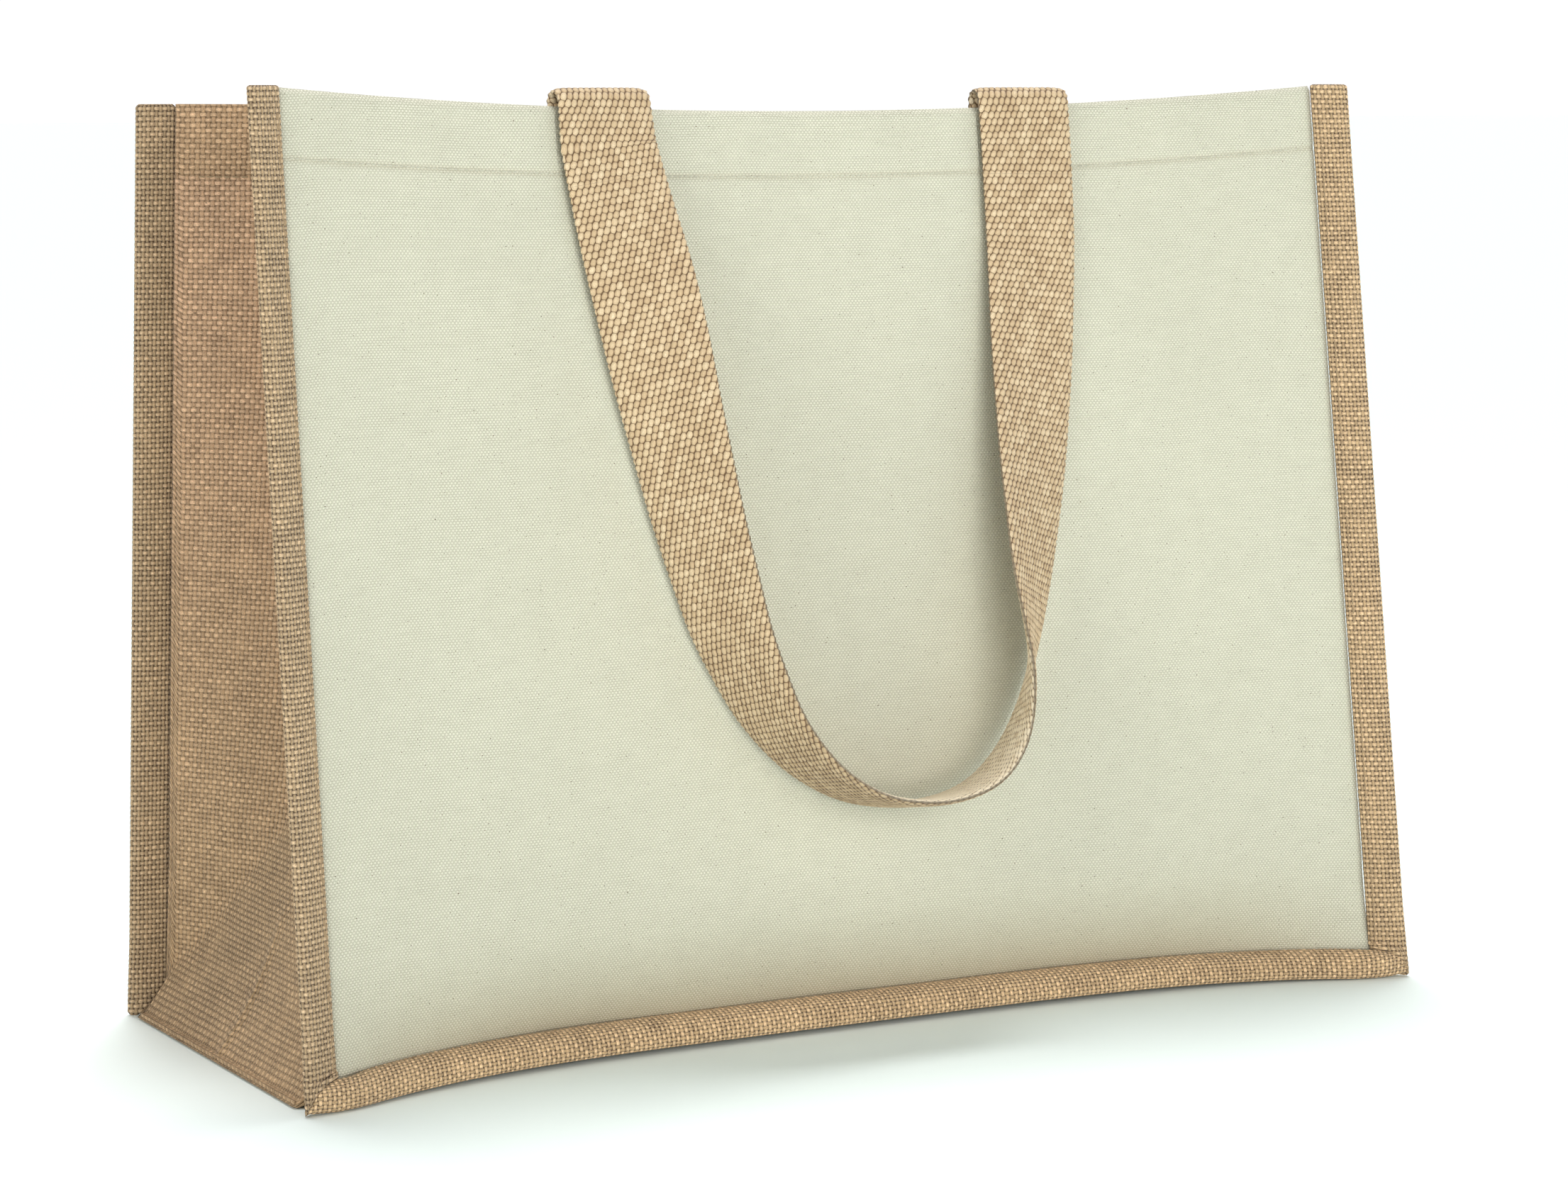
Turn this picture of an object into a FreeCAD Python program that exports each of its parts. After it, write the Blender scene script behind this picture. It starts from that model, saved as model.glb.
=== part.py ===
import FreeCAD, Part
import math
import os
import Sketcher
from FreeCAD import Placement, Rotation, Vector

# Tote bag with two canvas panels, a jute gusset, bound seams and two webbing handles.
# Millimetres. X runs across the bag, the front panel faces -Y, +Z is up.

doc = FreeCAD.newDocument("ToteBag")
sheet = doc.addObject("Spreadsheet::Sheet", "Sizes")

sizes = [
    ("baseWidth", 460, "across the binding at the floor"),
    ("mouthWidth", 455, "across the binding at the mouth"),
    ("bagHeight", 345, "floor to the top ends of the front binding"),
    ("baseDepth", 176, "between the front and rear rims at the floor"),
    ("frontLean", 46, "how far the front rim leans back over the bag height"),
    ("rearLean", 20, "how far the rear rim leans forward over the bag height"),
    ("rearHeight", 338, "floor to the rear binding's top ends and the gusset hem"),
    ("frontMouth", 335.3, "floor to the middle of the front panel's mouth edge"),
    ("frontDip", 9, "how far the front mouth edge rises from its middle to its corners"),
    ("rearMouth", 325, "floor to the middle of the rear panel's mouth edge"),
    ("rearDip", 12.3, "how far the rear mouth edge rises from its middle to its corners"),
    ("mouthBow", 20, "inward bow of a panel at the mouth"),
    ("lowBow", 16, "inward bow of a panel at the tuck line"),
    ("tuckHeight", 40, "height of the line where a panel turns in to its base seam"),
    ("baseBow", 24, "inward bow of the base rim"),
    ("canvasThick", 1.2, "canvas cloth"),
    ("hemDepth", 26, "depth of the mouth hem"),
    ("jutePly", 1.6, "gusset cloth"),
    ("gussetSlack", 1, "gusset cloth beyond the depth at the floor"),
    ("baseTent", 45, "rise of the base cloth along its centre crease"),
    ("bindingThick", 5, "folded binding"),
    ("frontReach", 12.8, "front binding, seam to rim across X"),
    ("frontSplay", 6.8, "front binding, seam to rim along Y"),
    ("rearReach", 14.3, "rear binding, seam to rim across X"),
    ("rearSplay", 2, "rear binding, seam to rim along Y"),
    ("baseFlare", 12.6, "base binding, seam to rim along Y at mid width"),
    ("baseRise", 7.2, "base binding, rim to seam upward"),
    ("footWidth", 4, "underside of the base binding before it is pressed flat"),
    ("footTrim", 0.2, "height lost where the base binding is pressed flat"),
    ("webbingWidth", 38, "handle webbing"),
    ("webbingThick", 2.8, "handle webbing"),
    ("handleSpacing", 176, "between the two ends of a handle, centre to centre"),
    ("handleShift", 3, "middle of a handle to the middle of the bag"),
    ("handleDrop", 255, "arch to the lowest point of a hanging handle"),
    ("archRise", 1, "height of the arch centre over the mouth edge"),
    ("outerGap", 2.5, "canvas to the hanging leg"),
    ("threadThick", 0.6, "sewing thread"),
    ("threadWidth", 0.9, "sewing thread"),
    ("threadInset", 3, "binding's row of thread to its seam"),
    ("boxInset", 2, "box stitch to the edges of the sewn end"),
    ("clearance", 0.3, "between neighbouring pieces"),
    ("facetMargin", 5, "flat part of a panel beyond each side of a centred handle"),
]
for row, (alias, number, note) in enumerate(sizes, start=1):
    sheet.set(f"A{row}", note)
    sheet.set(f"B{row}", str(number))
    sheet.setAlias(f"B{row}", alias)
doc.recompute()


def value(text):
    """Number that a formula on the size sheet gives now."""
    return float(sheet.evalExpression(text))


# Formulas on the size sheet. side is -1 for the front of the bag and 1 for the rear.

names = {-1: "front", 1: "rear"}
lean = {-1: "Sizes.frontLean", 1: "Sizes.rearLean"}
splay = {-1: "Sizes.frontSplay", 1: "Sizes.rearSplay"}
reach = {-1: "Sizes.frontReach", 1: "Sizes.rearReach"}
topHeight = {-1: "Sizes.bagHeight", 1: "Sizes.rearHeight"}
mouth = {-1: "Sizes.frontMouth", 1: "Sizes.rearMouth"}
dip = {-1: "Sizes.frontDip", 1: "Sizes.rearDip"}

panelHalf = "(Sizes.mouthWidth/2 - Sizes.rearReach - Sizes.clearance)"
handleInner = "(Sizes.handleSpacing/2 - Sizes.webbingWidth/2 - Sizes.facetMargin)"
handleOuter = "(Sizes.handleSpacing/2 + Sizes.webbingWidth/2 + Sizes.facetMargin)"
handleCentre = {
    -1: "(Sizes.handleShift - Sizes.handleSpacing/2)",
    1: "(Sizes.handleShift + Sizes.handleSpacing/2)",
}
# how much wider the floor is than the mouth on each side, and the lean that it gives the side seams
sideTaper = "((Sizes.baseWidth - Sizes.mouthWidth)/2)"
sideAngle = f"(atan({sideTaper}/Sizes.bagHeight))"
midStation = f"(({handleOuter} + {panelHalf})/2)"
baseSeamHeight = "(Sizes.baseRise + Sizes.bindingThick/2)"

# the panels and base are flat between these stations across the bag
stations = [
    f"(-{panelHalf})", f"(-{midStation})", f"(-{handleOuter})", f"(-{handleInner})", "(0)",
    handleInner, handleOuter, midStation, panelHalf,
]


def share(x):
    """Station as a fraction of the panel's half width."""
    return f"(({x})/{panelHalf})"


def seamPlane(side, z):
    """Y of a side seam at a height."""
    return f"({side}*(Sizes.baseDepth/2 - {splay[side]} - {lean[side]}*({z})/{topHeight[side]}))"


def panelBow(z):
    """Inward bow of a panel at a height."""
    rise = f"(({z}) - Sizes.tuckHeight)/(Sizes.bagHeight - Sizes.tuckHeight)"
    return f"(Sizes.lowBow + (Sizes.mouthBow - Sizes.lowBow)*{rise})"


def panelFace(side, x, z):
    """Y of a panel's outer face above the tuck line."""
    return f"({seamPlane(side, z)} - ({side})*{panelBow(z)}*(1 - {share(x)}^2))"


def baseRim(side, x):
    """Y of the base rim."""
    return f"({side}*(Sizes.baseDepth/2 - Sizes.baseBow*(1 - {share(x)}^4)))"


def baseSeam(side, x):
    """Y of the base seam."""
    flare = f"({splay[side]} + (Sizes.baseFlare - {splay[side]})*(1 - {share(x)}^4))"
    return f"({baseRim(side, x)} - ({side})*{flare})"


def mouthEdge(side, x):
    """Height of a panel's top edge."""
    return f"({mouth[side]} + {dip[side]}*{share(x)}^2)"


# Sketch and body helpers


def originPlane(body, role):
    for feature in body.Origin.OriginFeatures:
        if feature.Role == role:
            return feature
    raise ValueError("no origin plane " + role)


def newSketch(body, name, role, offset):
    sketch = body.newObject("Sketcher::SketchObject", name)
    sketch.AttachmentSupport = [(originPlane(body, role), "")]
    sketch.MapMode = "FlatFace"
    sketch.setExpression("AttachmentOffset.Base.z", offset)
    return sketch


def turnSketch(sketch, axis, angle):
    """Turn a sketch about one of its own axes."""
    sketch.AttachmentOffset = Placement(sketch.AttachmentOffset.Base, Rotation(axis, 0))
    sketch.setExpression("AttachmentOffset.Rotation.Angle", angle)
    sketch.setExpression("AttachmentOffset.Rotation.Axis.x", str(axis.x))
    sketch.setExpression("AttachmentOffset.Rotation.Axis.y", str(axis.y))
    sketch.setExpression("AttachmentOffset.Rotation.Axis.z", str(axis.z))


def closedOutline(sketch, corners, radii=None):
    """Closed outline through corners given as pairs of formulas.

    radii maps the number of a side to the formula of its radius and +1 for a counter-clockwise
    arc or -1 for a clockwise one; all other sides are straight.
    """
    radii = radii or {}
    points = []
    for across, upward in corners:
        points.append(Vector(value(across), value(upward), 0))
    count = len(points)
    starts = []
    ends = []
    for side in range(count):
        begin = points[side]
        finish = points[(side + 1) % count]
        if side in radii:
            radius = value(radii[side][0])
            turn = radii[side][1]
            chord = finish - begin
            height = math.sqrt(max(radius ** 2 - (chord.Length / 2) ** 2, 0))
            normal = Vector(-chord.y, chord.x, 0).normalize() * turn
            centre = (begin + finish) * 0.5 + normal * height
            first, last = (begin, finish) if turn > 0 else (finish, begin)
            startAngle = math.atan2(first.y - centre.y, first.x - centre.x)
            endAngle = math.atan2(last.y - centre.y, last.x - centre.x)
            circle = Part.Circle(centre, Vector(0, 0, 1), radius)
            sketch.addGeometry(Part.ArcOfCircle(circle, startAngle, endAngle), False)
            starts.append(1 if turn > 0 else 2)
            ends.append(2 if turn > 0 else 1)
        else:
            sketch.addGeometry(Part.LineSegment(begin, finish), False)
            starts.append(1)
            ends.append(2)
    for side in range(count):
        following = (side + 1) % count
        sketch.addConstraint(
            Sketcher.Constraint("Coincident", side, ends[side], following, starts[following]))
    for side, (across, upward) in enumerate(corners):
        point = points[side]
        for kind, formula, number in (("DistanceX", across, point.x), ("DistanceY", upward, point.y)):
            index = sketch.addConstraint(Sketcher.Constraint(kind, -1, 1, side, starts[side], number))
            sketch.setExpression(f"Constraints[{index}]", formula)
        if side in radii:
            index = sketch.addConstraint(Sketcher.Constraint("Radius", side, value(radii[side][0])))
            sketch.setExpression(f"Constraints[{index}]", radii[side][0])


def loftBody(name, sections):
    """Body lofted straight between outlines that stand across X, given as (x, corners).

    The outlines at both ends lean with the side seams, so their x is the one at the floor.
    """
    body = doc.addObject("PartDesign::Body", name)
    body.Label = name
    sketches = []
    for number, (x, corners) in enumerate(sections):
        hand = {0: -1, len(sections) - 1: 1}.get(number, 0)
        if hand:
            x = f"({x} + ({hand})*{sideTaper})"
            corners = [(across, f"({upward}/cos({sideAngle}))") for across, upward in corners]
        sketch = newSketch(body, f"{name}_section_{number}", "YZ_Plane", x)
        if hand:
            turnSketch(sketch, Vector(1, 0, 0), f"({-hand}*{sideAngle})")
        closedOutline(sketch, corners)
        sketches.append(sketch)
    loft = body.newObject("PartDesign::AdditiveLoft", name + "_loft")
    loft.Profile = sketches[0]
    loft.Sections = sketches[1:]
    loft.Ruled = True
    loft.Closed = False
    body.Tip = loft
    return body


def shapePiece(name, shape):
    piece = doc.addObject("Part::Feature", name)
    piece.Label = name
    piece.Shape = shape
    piece.Placement = Placement()
    return piece


def stripSolid(sections):
    """Solid ruled from one closed outline of 3-D points to the next."""
    wires = [Part.makePolygon(outline + [outline[0]]) for outline in sections]
    solid = Part.makeLoft(wires, True, True)
    if solid.Volume < 0:
        solid.reverse()
    return solid


# Canvas panels


def panelSection(side, x):
    inward = f"(-({side})*Sizes.canvasThick)"
    seamY = baseSeam(side, x)
    foot = f"({baseSeamHeight} + Sizes.clearance + Sizes.bindingThick/2)"
    tuckY = panelFace(side, x, "Sizes.tuckHeight")
    top = mouthEdge(side, x)
    topY = panelFace(side, x, top)
    hem = f"({top} - Sizes.hemDepth)"
    hemY = panelFace(side, x, hem)
    return [
        (seamY, foot), (tuckY, "Sizes.tuckHeight"), (topY, top),
        (f"({topY} + 2*{inward})", top), (f"({hemY} + 2*{inward})", hem),
        (f"({hemY} + {inward})", f"({hem} - Sizes.canvasThick)"),
        (f"({tuckY} + {inward})", "Sizes.tuckHeight"), (f"({seamY} + {inward})", foot),
    ]


def makePanel(side):
    return loftBody(names[side] + "_panel", [(x, panelSection(side, x)) for x in stations])


def makeHemStitching(side):
    """Thread along the bottom of the mouth hem, on the outer face."""
    sections = []
    for x in stations:
        low = f"({mouthEdge(side, x)} - Sizes.hemDepth + 2*Sizes.threadWidth)"
        high = f"({low} + Sizes.threadWidth)"
        near = f"({side})*Sizes.clearance"
        far = f"({side})*(Sizes.clearance + Sizes.threadThick)"
        sections.append((x, [
            (f"({panelFace(side, x, low)} + {near})", low), (f"({panelFace(side, x, high)} + {near})", high),
            (f"({panelFace(side, x, high)} + {far})", high), (f"({panelFace(side, x, low)} + {far})", low),
        ]))
    return loftBody(names[side] + "_hem_stitching", sections)


# Binding: one tape folded over the seam, down one side, along the base and up the other

# full thickness runs this share of the way from seam to rim, and the folded rim is this share of it
fullShare = 0.75
noseShare = 0.4


def sideRootX(side, z):
    """Half width of the bag at a side seam."""
    return value(f"Sizes.baseWidth/2 - {sideTaper}*({z})/Sizes.bagHeight - {reach[side]}")


def legOutline(side, hand, z):
    """Binding cut level at a height; hand is -1 at the left and 1 at the right."""
    root = Vector(hand * sideRootX(side, z), value(seamPlane(side, z)), z)
    out = Vector(hand * value(reach[side]), side * value(splay[side]), 0)
    half = value("Sizes.bindingThick/2")
    across = Vector(0, 0, 1).cross(out).normalize() * half * hand * side
    return [root + across, root + out * fullShare + across, root + out + across * noseShare,
            root + out - across * noseShare, root + out * fullShare - across, root - across]


def baseOutline(side, x):
    """Binding cut upright at a station of the base, in the same order as a leg's outline."""
    half = value("Sizes.bindingThick/2")
    seamY = value(baseSeam(side, x))
    rimY = value(baseRim(side, x))
    seamZ = value(baseSeamHeight)
    place = value(x)
    shoulderY = seamY + (rimY - seamY) * fullShare
    toe = rimY - side * half * (1 - noseShare) / 2
    heel = toe - side * value("Sizes.footWidth")
    under = -value("Sizes.footTrim")
    return [Vector(place, seamY, seamZ + half), Vector(place, shoulderY, seamZ - half * noseShare),
            Vector(place, rimY, half * (1 + noseShare)), Vector(place, toe, under),
            Vector(place, heel, under), Vector(place, seamY, seamZ - half)]


def cornerOutline(side, hand):
    """Mitre where a leg meets the base: across from the leg, height from the base."""
    leg = legOutline(side, hand, 0)
    base = baseOutline(side, f"{hand}*{panelHalf}")
    return [Vector(outer.x, outer.y, upright.z) for outer, upright in zip(leg, base)]


def bindingOutlines(side):
    """Outlines in order down the left leg, along the base and up the right leg."""
    heights = [value(topHeight[side]), value(f"{topHeight[side]}/2"), value("Sizes.tuckHeight")]
    outlines = [legOutline(side, -1, z) for z in heights]
    outlines.append(cornerOutline(side, -1))
    outlines += [baseOutline(side, x) for x in stations[1:-1]]
    outlines.append(cornerOutline(side, 1))
    outlines += [legOutline(side, 1, z) for z in reversed(heights)]
    return outlines


def makeBinding(side):
    """The fold is pressed flat where it stands on the floor."""
    fold = stripSolid(bindingOutlines(side))
    box = fold.BoundBox
    floor = Part.makeBox(box.XLength, box.YLength, box.ZLength, Vector(box.XMin, box.YMin, -box.ZLength))
    return shapePiece(names[side] + "_binding", fold.cut(floor).Solids[0])


def threadOutline(outline):
    """Thread on the outward face of the binding, off the seam by threadInset."""
    root, shoulder = outline[0], outline[1]
    along = (shoulder - root).normalize()
    outward = (outline[0] - outline[5]).normalize()
    start = root + along * value("Sizes.threadInset") + outward * value("Sizes.clearance")
    width = along * value("Sizes.threadWidth")
    thick = outward * value("Sizes.threadThick")
    return [start, start + width, start + width + thick, start + thick]


def makeBindingStitching(side):
    solid = stripSolid([threadOutline(outline) for outline in bindingOutlines(side)])
    return shapePiece(names[side] + "_binding_stitching", solid)


# Gusset: one strip, up the left side, across the base and up the right side, creased inward


def gussetEdgeY(side, seamY):
    return seamY - side * value("Sizes.bindingThick/2 + Sizes.clearance")


def gussetHalfCloth():
    """Half the width of the strip, which spans the depth at the floor with a little slack."""
    front = gussetEdgeY(-1, value(seamPlane(-1, "0")))
    rear = gussetEdgeY(1, value(seamPlane(1, "0")))
    return (rear - front + value("Sizes.gussetSlack")) / 2


def wallOutline(hand, z):
    front = gussetEdgeY(-1, value(seamPlane(-1, str(z))))
    rear = gussetEdgeY(1, value(seamPlane(1, str(z))))
    fold = math.sqrt(gussetHalfCloth() ** 2 - ((rear - front) / 2) ** 2)
    outer = [Vector(hand * sideRootX(-1, z), front, z),
             Vector(hand * (sideRootX(-1, z) - fold), (front + rear) / 2, z),
             Vector(hand * sideRootX(-1, z), rear, z)]
    ply = Vector(-hand * value("Sizes.jutePly"), 0, 0)
    return outer + [point + ply for point in reversed(outer)]


def floorOutline(x):
    front = gussetEdgeY(-1, value(baseSeam(-1, x)))
    rear = gussetEdgeY(1, value(baseSeam(1, x)))
    place = value(x)
    low = value(baseSeamHeight)
    tent = value(f"Sizes.baseTent*(1 - {share(x)}^4)")
    crease = Vector(place, (front + rear) / 2, low + tent)
    outer = [Vector(place, front, low), crease, Vector(place, rear, low)]
    ply = Vector(0, 0, value("Sizes.jutePly"))
    return outer + [point + ply for point in reversed(outer)]


def gussetCorner(hand):
    low = value(baseSeamHeight)
    wall = wallOutline(hand, low)
    floor = floorOutline(f"{hand}*{panelHalf}")
    return [Vector(side.x, side.y, under.z) for side, under in zip(wall, floor)]


def makeGusset():
    top = value("Sizes.rearHeight")
    wallSteps = 4
    heights = [top * (wallSteps - step) / wallSteps for step in range(wallSteps)]
    sections = [wallOutline(-1, z) for z in heights]
    sections.append(gussetCorner(-1))
    sections += [floorOutline(x) for x in stations[1:-1]]
    sections.append(gussetCorner(1))
    sections += [wallOutline(1, z) for z in reversed(heights)]
    return shapePiece("gusset", stripSolid(sections))


def makeGussetStitching(hand):
    """Thread along the bottom of the gusset's mouth hem, on the outer face."""
    low = value("Sizes.rearHeight - Sizes.hemDepth")
    lower = wallOutline(hand, low)[:3]
    upper = wallOutline(hand, low + value("Sizes.threadWidth"))[:3]
    near = Vector(hand * value("Sizes.clearance"), 0, 0)
    far = near + Vector(hand * value("Sizes.threadThick"), 0, 0)
    # both ends stop short of the side seams
    for line in (lower, upper):
        margin = (line[1] - line[0]).normalize() * value("Sizes.threadInset")
        line[0] = line[0] + margin
        line[2] = line[2] + Vector(margin.x, -margin.y, 0)
    outlines = []
    for below, above in zip(lower, upper):
        outlines.append([below + near, above + near, above + far, below + far])
    word = "left" if hand < 0 else "right"
    return shapePiece(word + "_gusset_hem_stitching", stripSolid(outlines))


# Handles


def handleSlope(side):
    """Turn of a panel about the upright where a handle lies, in degrees."""
    outer = panelFace(side, handleOuter, mouthEdge(side, handleOuter))
    inner = panelFace(side, handleInner, mouthEdge(side, handleInner))
    return f"(atan(({outer} - {inner})/({handleOuter} - {handleInner})))"


def facetY(side, hand, z):
    """Y of the panel's outer face under the middle of one end of a handle."""
    inner, outer = panelFace(side, handleInner, z), panelFace(side, handleOuter, z)
    across = f"((({hand})*{handleCentre[hand]} - {handleInner})/({handleOuter} - {handleInner}))"
    return f"({inner} + ({outer} - {inner})*{across})"


archHeight = {side: f"({mouthEdge(side, handleOuter)} + Sizes.archRise)" for side in (-1, 1)}
tabNear = "(2*Sizes.canvasThick + Sizes.clearance)"
tabFar = f"({tabNear} + Sizes.webbingThick)"
archInner = f"(({tabNear} + Sizes.outerGap)/2)"
archOuter = f"({archInner} + Sizes.webbingThick)"
archMiddle = f"(({tabNear} - Sizes.outerGap)/2)"
# the sewn end stops just above the hem's row of thread
tabEnd = {
    side: f"({mouthEdge(side, handleOuter)} - Sizes.hemDepth + 3*Sizes.threadWidth + Sizes.clearance)"
    for side in (-1, 1)
}


def tabLean(side, hand):
    """How far the panel moves inward from the arch down to the end of the sewn length."""
    return f"(({facetY(side, hand, tabEnd[side])} - {facetY(side, hand, archHeight[side])})*({-side}))"


def makeHandleEnd(side, hand):
    """Sewn end with the inner half of the arch; its sketch runs inward from the panel's face."""
    word = "left" if hand < 0 else "right"
    name = f"{names[side]}_handle_{word}_end"
    body = doc.addObject("PartDesign::Body", name)
    body.Label = name
    sketch = newSketch(body, name + "_profile", "YZ_Plane", handleCentre[hand])
    arch, foot = archHeight[side], tabEnd[side]
    sketch.setExpression("AttachmentOffset.Base.x", facetY(side, hand, arch))
    turnSketch(sketch, Vector(0, 1, 0), f"({hand}*{handleSlope(side)})")
    inward = f"({-side})"
    corners = [
        (f"({inward}*({tabNear} + {tabLean(side, hand)}))", foot),
        (f"({inward}*({tabFar} + {tabLean(side, hand)}))", foot),
        (f"({inward}*{tabFar})", arch),
        (f"({inward}*{archMiddle})", f"({arch} + {archOuter})"),
        (f"({inward}*{archMiddle})", f"({arch} + {archInner})"),
        (f"({inward}*{tabNear})", arch),
    ]
    turn = -side
    closedOutline(sketch, corners, {2: (archOuter, turn), 4: (archInner, -turn)})
    pad = body.newObject("PartDesign::Pad", name + "_pad")
    pad.Profile = sketch
    pad.setExpression("Length", "Sizes.webbingWidth")
    pad.Midplane = True
    body.Tip = pad
    return body


# Hanging loop: from each arch the strap turns its inner edge away from the panel on the way down.
# Each row is a share of the half spacing, a share of the drop and the strap's turn in degrees.
loopShape = [
    (-1.00, 0.06, 3), (-0.97, 0.14, 9), (-0.93, 0.26, 28), (-0.88, 0.42, 48), (-0.80, 0.58, 59),
    (-0.69, 0.74, 69), (-0.54, 0.86, 78), (-0.36, 0.935, 81), (-0.12, 0.985, 81), (0.17, 1.00, 80),
    (0.43, 0.985, 78), (0.57, 0.95, 76), (0.67, 0.90, 72), (0.75, 0.82, 62), (0.81, 0.69, 39),
    (0.88, 0.54, 22), (0.94, 0.38, 9), (0.99, 0.20, 1), (1.00, 0.06, 0),
]


def strapSection(centre, across, normal):
    """Rectangle of webbing: across points to its inner edge, normal to its outer face."""
    half = across * value("Sizes.webbingWidth/2")
    thick = normal * value("Sizes.webbingThick/2")
    return [centre + half + thick, centre + half - thick, centre - half - thick, centre - half + thick]


def panelAxes(side, hand):
    """Level directions of a panel under a handle: towards the bag's middle, and outward."""
    slope = math.radians(value(handleSlope(side)))
    across = Vector(-hand * math.cos(slope), -math.sin(slope), 0)
    outward = Vector(-hand * math.sin(slope), math.cos(slope), 0) * side
    return across, outward


def archSections(side, hand):
    """Outer half of an arch, from just past its top down to the leg."""
    across, outward = panelAxes(side, hand)
    radius = value(f"({archInner} + {archOuter})/2")
    arch = archHeight[side]
    face = Vector(value(handleCentre[hand]), value(facetY(side, hand, arch)), value(arch))
    centre = face - outward * value(archMiddle)
    sections = []
    for degrees in (90, 60, 30, 0):
        angle = math.radians(degrees)
        spoke = outward * math.cos(angle) + Vector(0, 0, math.sin(angle))
        middle = centre + spoke * radius
        if degrees == 90:
            middle = middle + outward * value("Sizes.clearance")
        sections.append(strapSection(middle, across, spoke))
    return sections


def hangingRow(side, along, fall, turn):
    """Middle of the strap at a row of loopShape, clear of the panel, and the panel's normal there."""
    x = value(f"Sizes.handleShift + Sizes.handleSpacing/2*{along}")
    z = value(f"{archHeight[side]} - Sizes.handleDrop*{fall}")
    step = value("Sizes.webbingWidth/2")
    left = value(panelFace(side, str(x - step), str(z)))
    right = value(panelFace(side, str(x + step), str(z)))
    outward = Vector((left - right) / (2 * step), 1, 0).normalize() * side
    stand = value("Sizes.outerGap + Sizes.webbingThick/2") + step * math.sin(math.radians(turn))
    return Vector(x, value(panelFace(side, str(x), str(z))), z) + outward * stand, outward


def makeLoop(side):
    rows = [hangingRow(side, *row) for row in loopShape]
    sections = archSections(side, -1)
    for number, (centre, outward) in enumerate(rows):
        before = rows[max(number - 1, 0)][0]
        after = rows[min(number + 1, len(rows) - 1)][0]
        tangent = (after - before).normalize()
        outward = (outward - tangent * outward.dot(tangent)).normalize()
        inward = outward.cross(tangent) * -side
        angle = math.radians(loopShape[number][2])
        across = inward * math.cos(angle) + outward * math.sin(angle)
        sections.append(strapSection(centre, across, tangent.cross(across) * -side))
    sections += reversed(archSections(side, 1))
    return shapePiece(names[side] + "_handle", stripSolid(sections))


def makeHandleStitching(side):
    """Box stitch at each sewn end, as it shows on the canvas outside."""
    boxes = []
    for hand in (-1, 1):
        across, outward = panelAxes(side, hand)
        centre = value(handleCentre[hand])
        top = value(f"{archHeight[side]} - Sizes.archRise - Sizes.boxInset")
        foot = value(f"{tabEnd[side]} + Sizes.boxInset")
        lift = outward * value("Sizes.clearance")
        high = Vector(centre, value(facetY(side, hand, str(top))), top) + lift
        low = Vector(centre, value(facetY(side, hand, str(foot))), foot) + lift
        upward = (high - low).normalize()
        wide = value("Sizes.webbingWidth/2 - Sizes.boxInset")
        rings = []
        for inset in (0, value("Sizes.threadWidth")):
            reachOut = across * (wide - inset)
            ring = [low - reachOut + upward * inset, low + reachOut + upward * inset,
                    high + reachOut - upward * inset, high - reachOut - upward * inset]
            rings.append(Part.makePolygon(ring + [ring[0]]))
        outline = Part.Face(rings[0]).cut(Part.Face(rings[1]))
        boxes.append(outline.extrude(outward * value("Sizes.threadThick")))
    return shapePiece(names[side] + "_handle_stitching", Part.makeCompound(boxes))


# Assembly

pieces = [makeGusset(), makeGussetStitching(-1), makeGussetStitching(1)]
for side in (-1, 1):
    pieces += [makePanel(side), makeHemStitching(side), makeBinding(side), makeBindingStitching(side)]
    pieces += [makeLoop(side), makeHandleEnd(side, -1), makeHandleEnd(side, 1), makeHandleStitching(side)]
doc.recompute()

for item in doc.Objects:
    if "Invalid" in item.State or "Error" in item.State:
        raise RuntimeError(f"{item.Name} did not build: {item.State}")

# the origin is under the middle of the whole bag, hanging handles included
front = min(piece.Shape.BoundBox.YMin for piece in pieces)
rear = max(piece.Shape.BoundBox.YMax for piece in pieces)
for piece in pieces:
    piece.Placement = Placement(Vector(0, -(front + rear) / 2, 0), Rotation())
doc.recompute()
print("moved along Y by", round(-(front + rear) / 2, 3))
for side in (-1, 1):
    arch = archHeight[side]
    middle = f"({facetY(side, -1, arch)} + {facetY(side, 1, arch)})/2"
    hingeY = value(f"{middle} - ({side})*{archMiddle}")
    hingeZ = value(f"{arch} + {archOuter} + Sizes.clearance/2")
    print(names[side], "hinge at", round(hingeY - (front + rear) / 2, 2), round(hingeZ, 2))

os.makedirs("parts", exist_ok=True)
for piece in pieces:
    shape = piece.Shape
    if shape.isNull() or not shape.isValid() or not shape.Solids:
        raise RuntimeError(f"{piece.Label} has no valid solid")
    shape.exportStep(f"parts/{piece.Label}.step")
    print(piece.Label, len(shape.Solids), round(shape.Volume / 1000, 2), "cm3")
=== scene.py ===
import math

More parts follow.
